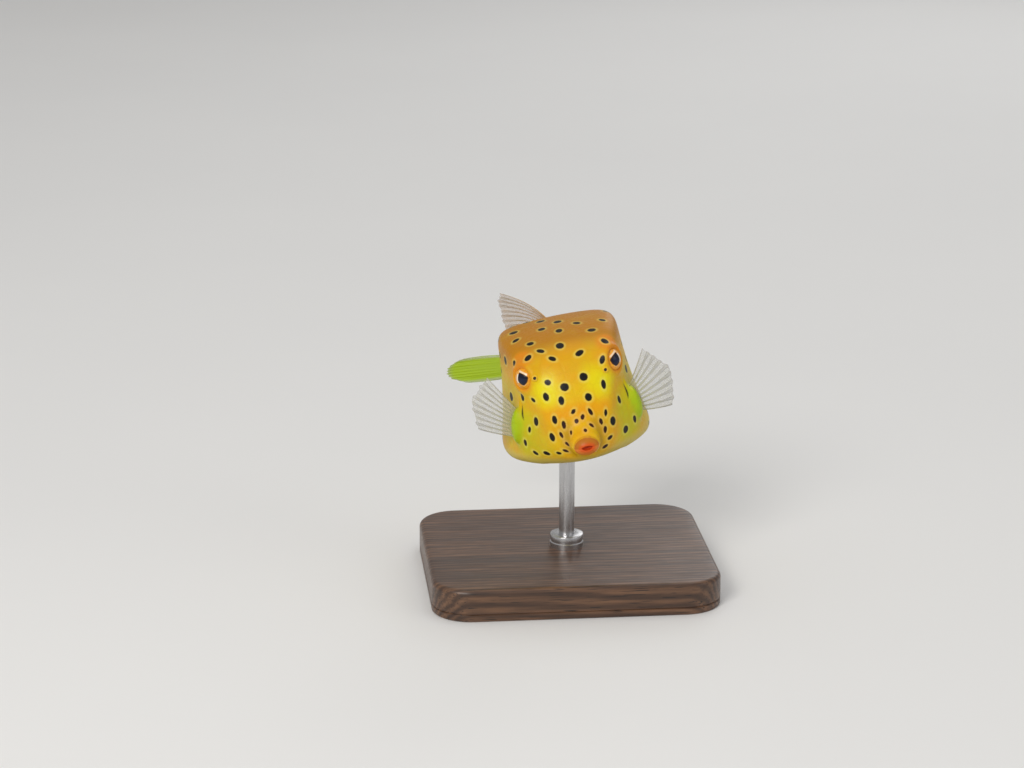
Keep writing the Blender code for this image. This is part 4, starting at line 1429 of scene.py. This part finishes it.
@dataclass
class Eye:
    """One eyeball with a painted iris."""

    plan: EyePlan
    side: Side
    segments: int = 96
    rings: int = 72
    pupil_sides: tuple[tuple[float, float, float], ...] = (
        (0.164, 0.986, 0.66), (0.544, 0.839, 0.64), (0.995, -0.095, 0.68),
        (0.726, -0.687, 0.73), (-0.337, -0.941, 0.82), (-0.781, -0.625, 0.74),
        (-1.0, 0.0, 0.69))
    pupil_rounding: float = 0.08
    pupil_shift: Pair = (0.62, 0.18)
    # size and drop of the painted sheen spot in the pupil
    painted_sheen_half: Pair = (0.46, 0.42)
    painted_sheen_drop: float = 0.2
    rim_band: Pair = (1.36, 1.56)
    crescent_rows: tuple[tuple[float, ...], ...] = (
        (186, 52, 0.40, 1.0), (92, 62, 0.36, 0.46), (-80, 46, 0.20, 0.34))
    seed: int = 5

    def ball(self) -> Surface:
        """Turn the eyeball, with its points crowded over the iris, and paint its values."""
        centre = self.side.flip(self.plan.centre)
        axis = unit(self.side.flip(self.plan.axis))
        angles = math.pi * (np.linspace(0, 1, self.rings + 1) ** 1.5)
        radius = self.plan.radius
        profile = [(radius * math.sin(a), radius * math.cos(a)) for a in angles]
        surface = lathe(profile, centre, axis, self.segments)
        ahead, upward = tangents(axis)
        offset = surface.points - centre
        across, up, depth = offset @ ahead, offset @ upward, offset @ axis
        reach = np.hypot(across, up)
        turn = np.arctan2(up, across)
        ahead_of, above = across - self.pupil_shift[0], up - self.pupil_shift[1]
        pupil = self.pupil_distance(ahead_of, above)
        random = np.random.default_rng(self.seed)
        streak = np.full(len(reach), 0.5)
        for waves in (11, 17, 29, 41):
            streak += 0.06 * np.sin(waves * turn + random.uniform(0, 6)
                                    + 1.3 * np.sin(3 * reach + waves))
        surface.values = {
            "pupil": np.where(depth > 0, pupil, 1.0),
            "white": self.crescents(np.arctan2(above, ahead_of), pupil) * (depth > 0),
            "streak": streak,
            # painted sheen: where the pupil's painted blue reflection lies
            "glow": np.exp(-((ahead_of / self.painted_sheen_half[0]) ** 2
                             + ((above + self.painted_sheen_drop) / self.painted_sheen_half[1]) ** 2)),
            "rim": ease(reach, *self.rim_band) * self.behind(turn),
        }
        return surface

    @staticmethod
    def behind(turn: np.ndarray) -> np.ndarray:
        """Weigh a direction from the pupil, from a little at the snout's side to 1 behind."""
        return 0.12 + 0.88 * ease(-np.cos(turn), -0.1, 0.9)

    def pupil_distance(self, ahead_of: np.ndarray, above: np.ndarray) -> np.ndarray:
        """Measure from the edge of the pupil, a drop with its point up and back."""
        total = sum(np.exp((ahead_of * ahead + above * upward - edge) / self.pupil_rounding)
                    for ahead, upward, edge in self.pupil_sides)
        return self.pupil_rounding * np.log(total)

    def crescents(self, turn: np.ndarray, pupil: np.ndarray) -> np.ndarray:
        """Paint the white crescent behind the pupil, the cream ones above and below it.

        Args:
            turn: each point's direction from the pupil, in radians.
            pupil: its distance from the pupil's edge.

        Returns:
            How bright the crescents are, from 0 to 1.
        """
        band = ease(pupil, 0.07, 0.13)
        total = np.zeros_like(pupil)
        for middle, width, thick, bright in self.crescent_rows:
            away = np.abs((np.degrees(turn) - middle + 180) % 360 - 180)
            share = ease(away, width, width * 0.5)
            total = np.maximum(total, bright * share * band
                               * ease(pupil, 0.12 + thick * (0.4 + 0.6 * share), thick * 0.7))
        return total

    def build(self, stand: FishFrame, finish: Material) -> bpy.types.Object:
        """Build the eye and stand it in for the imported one."""
        surface = self.ball()
        item = surface.to_object(f"eyeball_{self.side.word}", finish, stand)
        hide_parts(f"eye_{self.side.word}")
        return item


@dataclass
class Nostril:
    """A small raised rim with a pit just ahead of each eye, the pit painted dark as shade."""

    side: Side
    places: tuple[Triple, Triple] = ((5.2, 6.5, 3.9), (5.35, 6.6, 4.8))
    profile: tuple[Pair, ...] = (
        (0.0, -0.5), (0.54, -0.5), (0.51, -0.05), (0.46, 0.10), (0.40, 0.20), (0.33, 0.23),
        (0.27, 0.20), (0.23, 0.14), (0.16, 0.10), (0.0, 0.09))
    pit_shade_edge: Pair = (0.68, 0.78)
    steps: int = 40
    segments: int = 28

    def build(self, stand: FishFrame, finish: Material,
              skin: BVHTree) -> bpy.types.Object:
        """Build the nostril where its place lies nearest to the skin, and square to it.

        Args:
            stand: the fish's frame.
            finish: the nostril's finish.
            skin: the skin, in the model's frame.

        Returns:
            The finished piece.
        """
        place = self.side.flip(self.places[0 if self.side is Side.LEFT else 1])
        found, normal = skin.find_nearest(Vector(stand.place(place)[0]))[:2]
        foot = stand.unplace(found)
        axis = unit(stand.unplace(found + normal * MM) - foot)
        axis *= np.sign(axis @ self.side.flip((0.55, -0.8, 0.2)))
        fine = np.linspace(0, len(self.profile) - 1, self.steps)
        outline = [np.interp(fine, range(len(self.profile)), numbers)
                   for numbers in zip(*self.profile)]
        surface = lathe(list(zip(*outline)), foot, axis, self.segments)
        # painted shade: how dark each ring is, with the pit's inner rings darkest
        pit = ease(np.arange(len(fine)) / len(fine), *self.pit_shade_edge)
        surface.values = {"pit": np.append(np.repeat(pit[1:-1], self.segments), (0.0, 1.0))}
        item = surface.to_object(f"nostril_{self.side.word}", finish, stand)
        return item


@dataclass(frozen=True)
class NostrilFinish:
    """The skin's yellow on the rim, and near black painted shade in the pit."""

    rim: Colour = (0.80, 0.46, 0.02)
    pit: Colour = (0.02, 0.010, 0.004)

    def build(self) -> Material:
        """Build the material from the nostril's own value."""
        nodes = Nodes("nostril_skin")
        tone = nodes.mix(nodes.ease(nodes.noise(2400.0), 0.3, 0.7, 0.0, 0.4), self.rim,
                         SkinFinish.lemon)
        # painted shade: near black in the nostril's pit
        colour = nodes.mix(nodes.value("pit"), tone, self.pit)
        return nodes.finish(Base_Color=colour, Roughness=0.4, Coat_Weight=0.2,
                            Normal=nodes.bump(nodes.cells(6000.0), 0.00002, 0.4))


RayLine = tuple[np.ndarray, np.ndarray, np.ndarray]


@dataclass(frozen=True)
class RayTree:
    """Geometry Nodes that turn lines into tapered, jointed rays."""

    sides: int = 8
    bead_rings: int = 4
    bead_flatness: float = 0.5
    swell_range: Pair = (0.92, 1.08)
    seed: int = 3

    def build(self) -> bpy.types.GeometryNodeTree:
        """Build the tree: rods along the lines, a ring at each joint, all made real."""
        tree = bpy.data.node_groups.new("fin_rays", "GeometryNodeTree")
        for label, kind in (("Geometry", "Geometry"), ("Thickness", "Float"),
                            ("Joint Spacing", "Float"), ("Joint Swell", "Float"),
                            ("Finish", "Material")):
            tree.interface.new_socket(label, in_out="INPUT", socket_type=f"NodeSocket{kind}")
        tree.interface.new_socket("Geometry", in_out="OUTPUT", socket_type="NodeSocketGeometry")

        def feed(socket: Socket, value: object) -> None:
            """Link a socket to another, or set it to a constant."""
            if isinstance(value, Socket):
                tree.links.new(value, socket)
            else:
                socket.default_value = value

        def add(kind: str, **links: object) -> bpy.types.Node:
            """Add a node and feed its inputs, named with _ for a space."""
            node = tree.nodes.new(kind)
            for label, value in links.items():
                feed(node.inputs[label.replace("_", " ")], value)
            return node

        def product(first: Socket, second: object) -> Socket:
            """Multiply two numbers."""
            node = tree.nodes.new("ShaderNodeMath")
            node.operation = "MULTIPLY"
            feed(node.inputs[0], first)
            feed(node.inputs[1], second)
            return node.outputs[0]

        given = tree.nodes.new("NodeGroupInput").outputs
        thick = add("GeometryNodeInputNamedAttribute", Name="thick").outputs[0]
        size = product(thick, given["Thickness"])
        curves = add("GeometryNodeMeshToCurve", Mesh=given["Geometry"]).outputs[0]
        circle = add("GeometryNodeCurvePrimitiveCircle", Resolution=self.sides, Radius=1.0)
        rods = add("GeometryNodeCurveToMesh", Curve=curves, Profile_Curve=circle.outputs[0],
                   Scale=size, Fill_Caps=True).outputs[0]
        marks = add("GeometryNodeResampleCurve", Curve=curves)
        marks.mode = "LENGTH"
        feed(marks.inputs["Length"], given["Joint Spacing"])
        tangent = tree.nodes.new("GeometryNodeInputTangent").outputs[0]
        turn = add("FunctionNodeAlignRotationToVector", Vector=tangent)
        turn.axis = "Z"
        bead = add("GeometryNodeMeshUVSphere", Segments=self.sides, Rings=self.bead_rings,
                   Radius=1.0)
        vary = add("FunctionNodeRandomValue", Seed=self.seed)
        for number, limit in zip((2, 3), self.swell_range):
            vary.inputs[number].default_value = limit
        wide = product(size, product(given["Joint Swell"], vary.outputs[1]))
        scale = add("ShaderNodeCombineXYZ", X=wide, Y=wide, Z=product(wide, self.bead_flatness))
        beads = add("GeometryNodeInstanceOnPoints", Points=marks.outputs[0],
                    Instance=bead.outputs[0], Rotation=turn.outputs[0],
                    Scale=scale.outputs[0]).outputs[0]
        joined = add("GeometryNodeJoinGeometry")
        tree.links.new(beads, joined.inputs[0])
        tree.links.new(rods, joined.inputs[0])
        real = add("GeometryNodeRealizeInstances", Geometry=joined.outputs[0])
        smooth = add("GeometryNodeSetShadeSmooth", Geometry=real.outputs[0])
        dressed = add("GeometryNodeSetMaterial", Geometry=smooth.outputs[0],
                      Material=given["Finish"])
        result = tree.nodes.new("NodeGroupOutput")
        tree.links.new(dressed.outputs[0], result.inputs[0])
        return tree

    @staticmethod
    def apply(name: str, lines: list[RayLine], sizes: dict[str, object],
              tree: bpy.types.GeometryNodeTree, stand: FishFrame) -> bpy.types.Object:
        """Run the tree on lines and keep the plain mesh.

        Args:
            name: the finished piece's name.
            lines: each line's points, their thickness and how far along the fin they are.
            sizes: values for the tree's named inputs.
            tree: the tree.
            stand: the fish's frame.

        Returns:
            The finished piece.
        """
        points = np.concatenate([line[0] for line in lines])
        edges = []
        start = 0
        for line in lines:
            edges += [(start + n, start + n + 1) for n in range(len(line[0]) - 1)]
            start += len(line[0])
        mesh = bpy.data.meshes.new(name)
        mesh.from_pydata(stand.place(points).tolist(), edges, [])
        for label, column in (("thick", 1), ("along", 2)):
            set_values(mesh, label, np.concatenate([line[column] for line in lines]))
        item = put_in_scene(name, mesh)
        modifier = item.modifiers.new("rays", "NODES")
        modifier.node_group = tree
        for socket in tree.interface.items_tree:
            if socket.in_out == "INPUT" and socket.name in sizes:
                modifier[socket.identifier] = sizes[socket.name]
        graph = bpy.context.evaluated_depsgraph_get()
        result = bpy.data.meshes.new_from_object(item.evaluated_get(graph))
        item.modifiers.clear()
        item.data = result
        result.name = name
        return item


Bend = tuple[np.ndarray, np.ndarray, np.ndarray]


@dataclass
class Fin:
    """A fin: a clear membrane over branched, jointed rays.

    ray_at gives the root, bend and tip of the ray at a place, from 0, the leading ray, to 1.
    """

    name: str
    node: str
    slot: str
    rays: int
    ray_at: Callable[[float], Bend]
    membrane_finish: MembraneFinish
    ray_finish: RayFinish
    seed: int
    band: Callable[[np.ndarray, np.ndarray], np.ndarray] | None = None
    reach: float = 0.985
    variation: float = 0.03
    scallop: float = 0.02
    membrane: Pair = (0.16, 0.05)
    sag: float = 0.05
    ray_radius: float = 0.10
    joint_spacing: float = 0.42
    joint_swell: float = 1.10
    columns_per_ray: int = 8
    rows: int = 34
    branch_starts: Pair = (0.46, 0.74)
    branch_ends: Pair = (1.15, 1.1)
    branch_offsets: Pair = (0.21, 0.10)
    overlap: float = 0.02
    twig_end: float = 0.985
    leading_width: Pair = (1.0, 0.28)
    stem_width: Pair = (1.0, 0.78)
    branch_width: Pair = (0.62, 0.46)
    twig_width: Pair = (0.40, 0.20)

    def __post_init__(self) -> None:
        """Draw each ray's own length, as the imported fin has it."""
        draws = np.random.default_rng(self.seed).uniform(-1, 1, self.rays)
        self.lengths = 1 + self.variation * draws

    def point(self, place: float, part: float) -> np.ndarray:
        """Give a point of the fin's middle surface.

        Args:
            place: how far across, counted in rays.
            part: how far out, from 0 at the root to 1 at the edge.

        Returns:
            The point in the fish's frame.
        """
        place = float(np.clip(place, 0, self.rays - 1))
        on_ray = 0.5 + 0.5 * math.cos(2 * math.pi * place)
        root, bend, tip = [np.array(point, float) for point in
                           self.ray_at(place / (self.rays - 1))]
        stretch = np.interp(place, range(self.rays), self.lengths) * self.reach
        tip = root + (tip - root) * stretch * (1 - self.scallop * (1 - on_ray))
        return (root * (1 - part) ** 2 + bend * 2 * part * (1 - part) + tip * part ** 2)

    def membrane_surface(self) -> Surface:
        """Shape the thin skin between the rays, slack between them."""
        columns = (self.rays - 1) * self.columns_per_ray + 1
        places = np.linspace(0, self.rays - 1, columns)
        parts = np.linspace(0, 1, self.rows)
        middle = np.array([[self.point(place, part) for part in parts] for place in places])
        normal = np.cross(np.gradient(middle, axis=0), np.gradient(middle, axis=1))
        normal /= np.linalg.norm(normal, axis=2, keepdims=True)
        off_ray = (0.5 - 0.5 * np.cos(2 * math.pi * places))[:, None]
        random = np.random.default_rng(self.seed + 50)
        slack = random.uniform(-1.2, 1.2, self.rays)
        slack = np.interp(places, np.arange(self.rays) + 0.5, slack)[:, None]
        middle = middle + normal * (self.sag * slack * off_ray * parts ** 0.7)[..., None]
        root, tip = self.membrane
        half = np.broadcast_to((root + (tip - root) * parts) / 2, middle.shape[:2])[..., None]
        points = np.concatenate(((middle + normal * half).reshape(-1, 3),
                                 (middle - normal * half).reshape(-1, 3)))
        along = np.broadcast_to(parts, middle.shape[:2])
        across = np.broadcast_to(places[:, None] / (self.rays - 1), middle.shape[:2])
        ray = np.broadcast_to((1 - off_ray) ** 2, middle.shape[:2])
        band = self.band(across, along) if self.band else np.zeros(middle.shape[:2])
        values = {label: np.tile(grid.reshape(-1), 2) for label, grid in
                  (("along", along), ("ray", ray), ("band", band))}
        return Surface(points, sheet_faces(columns, self.rows), values)

    def line(self, place: float, start: float, end: float, offset: Callable[[float], float],
             width: Pair) -> RayLine:
        """Trace one stretch of a ray.

        Args:
            place: the ray's number.
            start: how far out it starts.
            end: how far out it ends.
            offset: how far it has spread from the ray's middle, in rays, by how far out.
            width: its thickness at the start and the end, as a share of the full one.

        Returns:
            The stretch's points, their thickness and how far out they are.
        """
        parts = np.linspace(start, end, max(5, int(26 * (end - start))))
        points = np.array([self.point(place + offset(part), part) for part in parts])
        share = (parts - start) / (end - start)
        return points, width[0] + (width[1] - width[0]) * share, parts

    def offset(self, fork: int, twig: int) -> Callable[[float], float]:
        """Give how far a branch or a twig spreads, by how far out it is.

        Args:
            fork: the branch's side, -1 or 1, or 0 for the stem.
            twig: the twig's side on its branch, or 0 for the branch.

        Returns:
            The spread from the ray's middle, counted in rays.
        """
        starts, ends, sizes = self.branch_starts, self.branch_ends, self.branch_offsets

        def spread(part: float) -> float:
            """Give the spread at one place along the ray."""
            return sum(turn * size * float(ease(part, start, end)) for turn, size, start, end
                       in zip((fork, twig), sizes, starts, ends))
        return spread

    def ray_lines(self) -> list[RayLine]:
        """Trace every ray: a stem, two branches, and four twigs at its edge."""
        first, second = self.branch_starts
        lines = [self.line(0, 0.0, 1.0, self.offset(0, 0), self.leading_width)]
        for number in range(1, self.rays):
            lines.append(self.line(number, 0.0, first + self.overlap, self.offset(0, 0),
                                   self.stem_width))
            for fork in (-1, 1):
                lines.append(self.line(number, first, second + self.overlap,
                                       self.offset(fork, 0), self.branch_width))
                lines += [self.line(number, second, self.twig_end, self.offset(fork, twig),
                                    self.twig_width) for twig in (-1, 1)]
        return lines

    def build(self, stand: FishFrame, tree: bpy.types.GeometryNodeTree) -> list:
        """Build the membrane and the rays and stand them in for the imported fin.

        Args:
            stand: the fish's frame.
            tree: the Geometry Nodes that make the rays.

        Returns:
            Both pieces.
        """
        membrane = self.membrane_surface().to_object(f"{self.name}_membrane",
                                                     self.membrane_finish.build(), stand)
        finish = self.ray_finish.build()
        sizes = {"Thickness": self.ray_radius * MM, "Joint Spacing": self.joint_spacing * MM,
                 "Joint Swell": self.joint_swell, "Finish": finish}
        rays = RayTree.apply(f"{self.name}_rays", self.ray_lines(), sizes, tree, stand)
        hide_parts(self.node)
        return [membrane, rays]


@dataclass(frozen=True)
class FinPlans:
    """Sizes of the five fins, and how each one's rays run."""

    form: BodyForm
    root_sink: float = 0.9
    root_lean: float = 0.55
    root_bend: float = 0.42
    pectoral_hinge: tuple[Triple, Triple] = ((8.9, 11.0, -0.4), (9.7, 12.0, -5.2))
    pectoral_angles: tuple[Pair, Pair] = ((58.0, -8.0), (58.0, 20.0))
    pectoral_lengths: tuple[Triple, Triple] = ((5.5, 6.8, 5.4), (6.0, 7.5, 5.6))
    pectoral_sweep: float = 1.2
    pectoral_sink: float = 0.9
    caudal_length: float = 10.6
    caudal_side_length: float = 7.6
    caudal_root_half: float = 1.7
    caudal_tip_half: float = 2.0
    caudal_rise: float = 0.9
    caudal_sink: float = 0.7

    def midline(self, plan: MidlinePlan) -> Callable[[float], Bend]:
        """Run a fin's rays from the midline, bent over to the fish's right and swept back.

        Args:
            plan: the fin's sizes.

        Returns:
            A function from a ray's place to its root, bend and tip.
        """
        def ray_at(part: float) -> Bend:
            """Give the ray at one place along the base."""
            distance, length = mix(*plan.base, part), mix(*plan.lengths, part)
            lean = math.radians(mix(*plan.leans, part))
            sweep = math.radians(mix(*plan.sweeps, part))
            root = np.array((0.0, distance, self.form.back_height(distance, plan.up)))
            rise = np.array((0.0, math.sin(sweep), plan.up * math.cos(sweep)))
            over = np.array((-math.sin(lean), math.cos(lean) * math.sin(sweep),
                             plan.up * math.cos(lean) * math.cos(sweep)))
            root = root - rise * self.root_sink
            tip = root + over * (length + self.root_sink)
            partly = lean * self.root_lean
            first = rise * math.cos(partly) - np.array((math.sin(partly), 0, 0))
            return root, root + first * (self.root_sink + self.root_bend * length), tip
        return ray_at

    def pectoral(self, side: Side) -> Callable[[float], Bend]:
        """Run a pectoral fin's rays outward and upward from its lobe.

        Args:
            side: the fish's side that it is on.

        Returns:
            A function from a ray's place to its root, bend and tip.
        """
        index = 0 if side is Side.LEFT else 1
        angles = self.pectoral_angles[index]
        lengths = self.pectoral_lengths[index]

        def ray_at(part: float) -> Bend:
            """Give the ray at one place along the hinge."""
            upper, lower = np.array(self.pectoral_hinge)
            hinge = upper + (lower - upper) * part
            angle = math.radians(mix(*angles, part))
            length = float(np.interp(part, (0, 0.5, 1), lengths))
            reach = np.array((math.cos(angle), 0.0, math.sin(angle)))
            root = hinge - reach * self.pectoral_sink
            tip = hinge + reach * length + np.array((0.0, self.pectoral_sweep, 0.0))
            bend = hinge + reach * length * 0.5 + np.array((0.0, -0.3, 0.0))
            return side.flip(root), side.flip(bend), side.flip(tip)
        return ray_at

    def caudal(self, part: float) -> Bend:
        """Run one ray of the closed tail fin, a paddle that tapers to a round tip.

        Args:
            part: the ray's place, from 0 at the top to 1.

        Returns:
            The ray's root, bend and tip.
        """
        centre, heading = self.form.peduncle_path(1.0)
        centre = centre + heading * self.form.gap
        across = 1 - 2 * part
        longer = self.caudal_length - self.caudal_side_length
        length = self.caudal_side_length + longer * (1 - across ** 2) ** 0.6
        root = centre + np.array((0, 0, self.caudal_root_half * across))
        tip = centre + heading * length + np.array(
            (0, 0, self.caudal_tip_half * across + self.caudal_rise * length
             / self.caudal_length))
        bend = (root + tip) / 2 + np.array((0, 0.5, 0.45 * across))
        return root - heading * self.caudal_sink, bend, tip

    def fins(self) -> list[Fin]:
        """Lay out the five fins, each with its finishes."""
        clear = MembraneFinish("fin_membrane", (0.60, 0.60, 0.58), (0.60, 0.54, 0.16),
                               (0.6, 0.6, 0.5), (0.34, 0.85))
        horn = RayFinish("fin_ray", (0.50, 0.47, 0.20), (0.40, 0.38, 0.33),
                         (0.24, 0.21, 0.16))
        warm = MembraneFinish("dorsal_membrane", (0.64, 0.58, 0.50), (0.80, 0.36, 0.14),
                              (0.6, 0.6, 0.5), (0.30, 0.85))
        pale = RayFinish("dorsal_ray", (0.72, 0.44, 0.16), (0.62, 0.54, 0.38),
                         (0.36, 0.24, 0.12))
        lime = MembraneFinish("tail_membrane", (0.52, 0.60, 0.30), (0.42, 0.56, 0.02),
                              (0.40, 0.60, 0.008), (0.42, 0.98))
        green = RayFinish("tail_ray", (0.36, 0.54, 0.01), (0.40, 0.60, 0.02),
                          (0.30, 0.46, 0.01))
        fins = [
            Fin("dorsal", "dorsal_fin", "fin", 9, self.midline(DORSAL), warm, pale, 3),
            Fin("anal", "anal_fin", "fin", 9, self.midline(ANAL), clear, horn, 4),
            Fin("caudal", "caudal_fin", "tail_fin", 10, self.caudal, lime, green, 9,
                caudal_band, branch_starts=(0.40, 0.70), ray_radius=0.08),
        ]
        for side in Side:
            fins.append(Fin(f"pectoral_{side.word}", f"pectoral_fin_{side.word}", "fin", 10,
                            self.pectoral(side), clear, horn, 5 + side.value))
        return fins


def caudal_band(across: np.ndarray, along: np.ndarray) -> np.ndarray:
    """Fade the tail fin's lime band out to clear margins, above, below and at the tip."""
    margin = ease(np.abs(2 * across - 1), 1.04, 0.70)
    return margin * ease(along, 1.06, 0.90)


@dataclass
class Stand:
    """The walnut plinth, the steel collar and the rod that holds the fish."""

    corner: float = 6.0
    bevel: float = 0.8
    bevel_steps: int = 8
    corner_steps: int = 16
    line_height: float = 1.1
    line_depth: float = 0.18
    chamfer: float = 0.25
    segments: int = 72
    waist: Pair = (0.25, 0.12)
    sink: float = 0.3
    rod_into_fish: float = 0.5

    def plinth(self) -> bpy.types.Object:
        """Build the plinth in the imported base's box: round corners, soft edge, one fine line."""
        low, high = [np.array(corner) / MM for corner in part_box("stand_base")]
        half = (high[:2] - low[:2]) / 2
        top = float(high[2])
        groove = [(0.0, self.line_height - self.line_depth),
                  (-self.line_depth, self.line_height),
                  (0.0, self.line_height + self.line_depth)]
        steps = [(-0.2, 0.0), (0.0, 0.2), *groove]
        for angle in np.linspace(0, math.pi / 2, self.bevel_steps):
            steps.append((-self.bevel * (1 - math.cos(angle)),
                          top - self.bevel * (1 - math.sin(angle))))
        steps.append((-self.bevel - 1.2, top))
        rings = []
        for inset, height in steps:
            radius = self.corner + inset
            for quarter in range(4):
                sign_x = 1 if quarter in (0, 3) else -1
                sign_y = 1 if quarter in (0, 1) else -1
                for step in range(self.corner_steps + 1):
                    angle = math.radians(90 * quarter + 90 * step / self.corner_steps)
                    rings.append((sign_x * (half[0] - self.corner) + radius * math.cos(angle),
                                  sign_y * (half[1] - self.corner) + radius * math.sin(angle),
                                  height))
        points = np.array(rings + [(0.0, 0.0, 0.0), (0.0, 0.0, top)])
        columns = 4 * (self.corner_steps + 1)
        return self.dress(Surface(points, tube_faces(len(steps), columns)), "plinth",
                          "stand_base", "stand_wood", WoodFinish().build(), 40)

    @staticmethod
    def dress(surface: Surface, name: str, node: str, slot: str,
              finish: Material, sharp: float) -> bpy.types.Object:
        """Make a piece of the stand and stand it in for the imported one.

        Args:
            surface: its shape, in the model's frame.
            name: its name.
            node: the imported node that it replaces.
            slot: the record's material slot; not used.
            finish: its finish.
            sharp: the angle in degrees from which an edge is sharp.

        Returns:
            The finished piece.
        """
        item = surface.to_object(name, finish)
        item.data.set_sharp_from_angle(angle=math.radians(sharp))
        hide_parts(node)
        return item

    def collar(self) -> bpy.types.Object:
        """Turn the collar, chamfered at its foot and rim, with a shallow waist."""
        low, high = [np.array(corner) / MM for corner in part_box("stand_collar")]
        radius = float(high[0] - low[0]) / 2
        foot, top = float(low[2]) - self.sink, float(high[2])
        edge = self.chamfer
        middle = (foot + top) / 2
        waist, deep = self.waist
        profile = [(0.0, foot), (radius, foot), (radius, middle - waist),
                   (radius - deep, middle - deep), (radius - deep, middle + deep),
                   (radius, middle + waist), (radius, top - edge),
                   (radius - edge * 0.3, top - edge * 0.3), (radius - edge, top),
                   (self.rod_radius() + 0.1, top), (0.0, top - 0.1)]
        surface = lathe(profile, np.zeros(3), np.array((0.0, 0.0, 1.0)), self.segments)
        return self.dress(surface, "collar", "stand_collar", "stand_steel",
                          SteelFinish("steel_turned", (0.05, 0.05, 1.0)).build(), 25)

    def rod_radius(self) -> float:
        """Read the rod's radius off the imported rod, in millimetres."""
        low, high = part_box("stand_rod")
        return (high.x - low.x) / 2 / MM

    def rod(self) -> bpy.types.Object:
        """Turn the rod, up to just inside the belly."""
        low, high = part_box("stand_rod")
        radius = self.rod_radius()
        foot, top = low.z / MM - self.sink, high.z / MM + self.rod_into_fish
        heights = np.linspace(foot, top, 24)
        profile = [(0.0, foot)] + [(radius, float(height)) for height in heights] + [(0.0, top)]
        surface = lathe(profile, np.zeros(3), np.array((0.0, 0.0, 1.0)), self.segments)
        return self.dress(surface, "rod", "stand_rod", "stand_steel",
                          SteelFinish("steel_drawn", (1.0, 1.0, 0.04)).build(), 40)

    def build(self) -> list[bpy.types.Object]:
        """Build the three pieces."""
        return [self.plinth(), self.collar(), self.rod()]


@dataclass(frozen=True)
class Light:
    """One soft panel: its name, place and aim in metres, width in metres, power in watts."""

    name: str
    place: Triple
    width: float
    power: float
    colour: Colour = (1.0, 1.0, 1.0)


@dataclass
class Studio:
    """A pale paper floor, soft panels and an even surround."""

    aim: Triple = (0.0, 0.0, 0.03)
    floor_half: float = 3.0
    surround: Colour = (0.87, 0.86, 0.85)
    surround_strength: float = 0.49
    lights: tuple[Light, ...] = (
        Light("key_panel", (-0.30, -0.46, 0.40), 0.24, 2.2, (1.0, 0.97, 0.93)),
        Light("fill_panel", (0.52, -0.34, 0.30), 0.34, 0.34, (0.98, 0.98, 1.0)),
        Light("top_panel", (0.05, 0.12, 0.60), 0.45, 0.55),
        Light("back_panel", (0.25, 0.55, 0.30), 0.30, 0.4),
    )

    def build(self) -> None:
        """Build the floor, the lights and the surround."""
        half = self.floor_half
        floor = bpy.data.meshes.new("floor")
        floor.from_pydata([(-half, -half, 0), (half, -half, 0), (half, half, 0),
                           (-half, half, 0)], [], [(0, 1, 2, 3)])
        floor.materials.append(FloorFinish().build())
        put_in_scene("floor", floor)
        for light in self.lights:
            panel = bpy.data.lights.new(light.name, "AREA")
            panel.size = light.width
            panel.energy = light.power
            panel.color = light.colour
            lamp = put_in_scene(light.name, panel)
            lamp.location = light.place
            toward = Vector(self.aim) - Vector(light.place)
            lamp.rotation_euler = toward.to_track_quat("-Z", "Y").to_euler()
        world = bpy.data.worlds.new("surround")
        world.use_nodes = True
        background = world.node_tree.nodes["Background"]
        background.inputs["Color"].default_value = (*self.surround, 1.0)
        background.inputs["Strength"].default_value = self.surround_strength
        bpy.context.scene.world = world
        bpy.context.scene.view_settings.view_transform = "Standard"


def main() -> None:
    """Build every piece in order, and report each one."""
    logging.basicConfig(level=logging.INFO, format="%(name)s: %(message)s")
    plan = EyePlan()
    stand = FishFrame.from_eyes(plan.centre)
    camera = PhotoCamera()
    camera.build()
    Studio().build()
    form = BodyForm()
    skin = Skin(form, plan, SpotPattern()).build(stand, camera)
    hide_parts("head", "carapace", "upper_lip", "lower_lip", "caudal_peduncle")
    pieces = [skin]
    eye_finish = EyeFinish().build()
    nostril_finish = NostrilFinish().build()
    tree = BVHTree.FromPolygons([vertex.co for vertex in skin.data.vertices],
                                [polygon.vertices for polygon in skin.data.polygons])
    for side in Side:
        pieces.append(Eye(plan, side).build(stand, eye_finish))
        pieces.append(Nostril(side).build(stand, nostril_finish, tree))
    ray_tree = RayTree().build()
    for fin in FinPlans(form).fins():
        pieces += fin.build(stand, ray_tree)
    pieces += Stand().build()
    for piece in pieces:
        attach(piece, BODY)
        LOG.info("%s: %d faces", piece.name, len(piece.data.polygons))


if __name__ == "__main__":
    main()
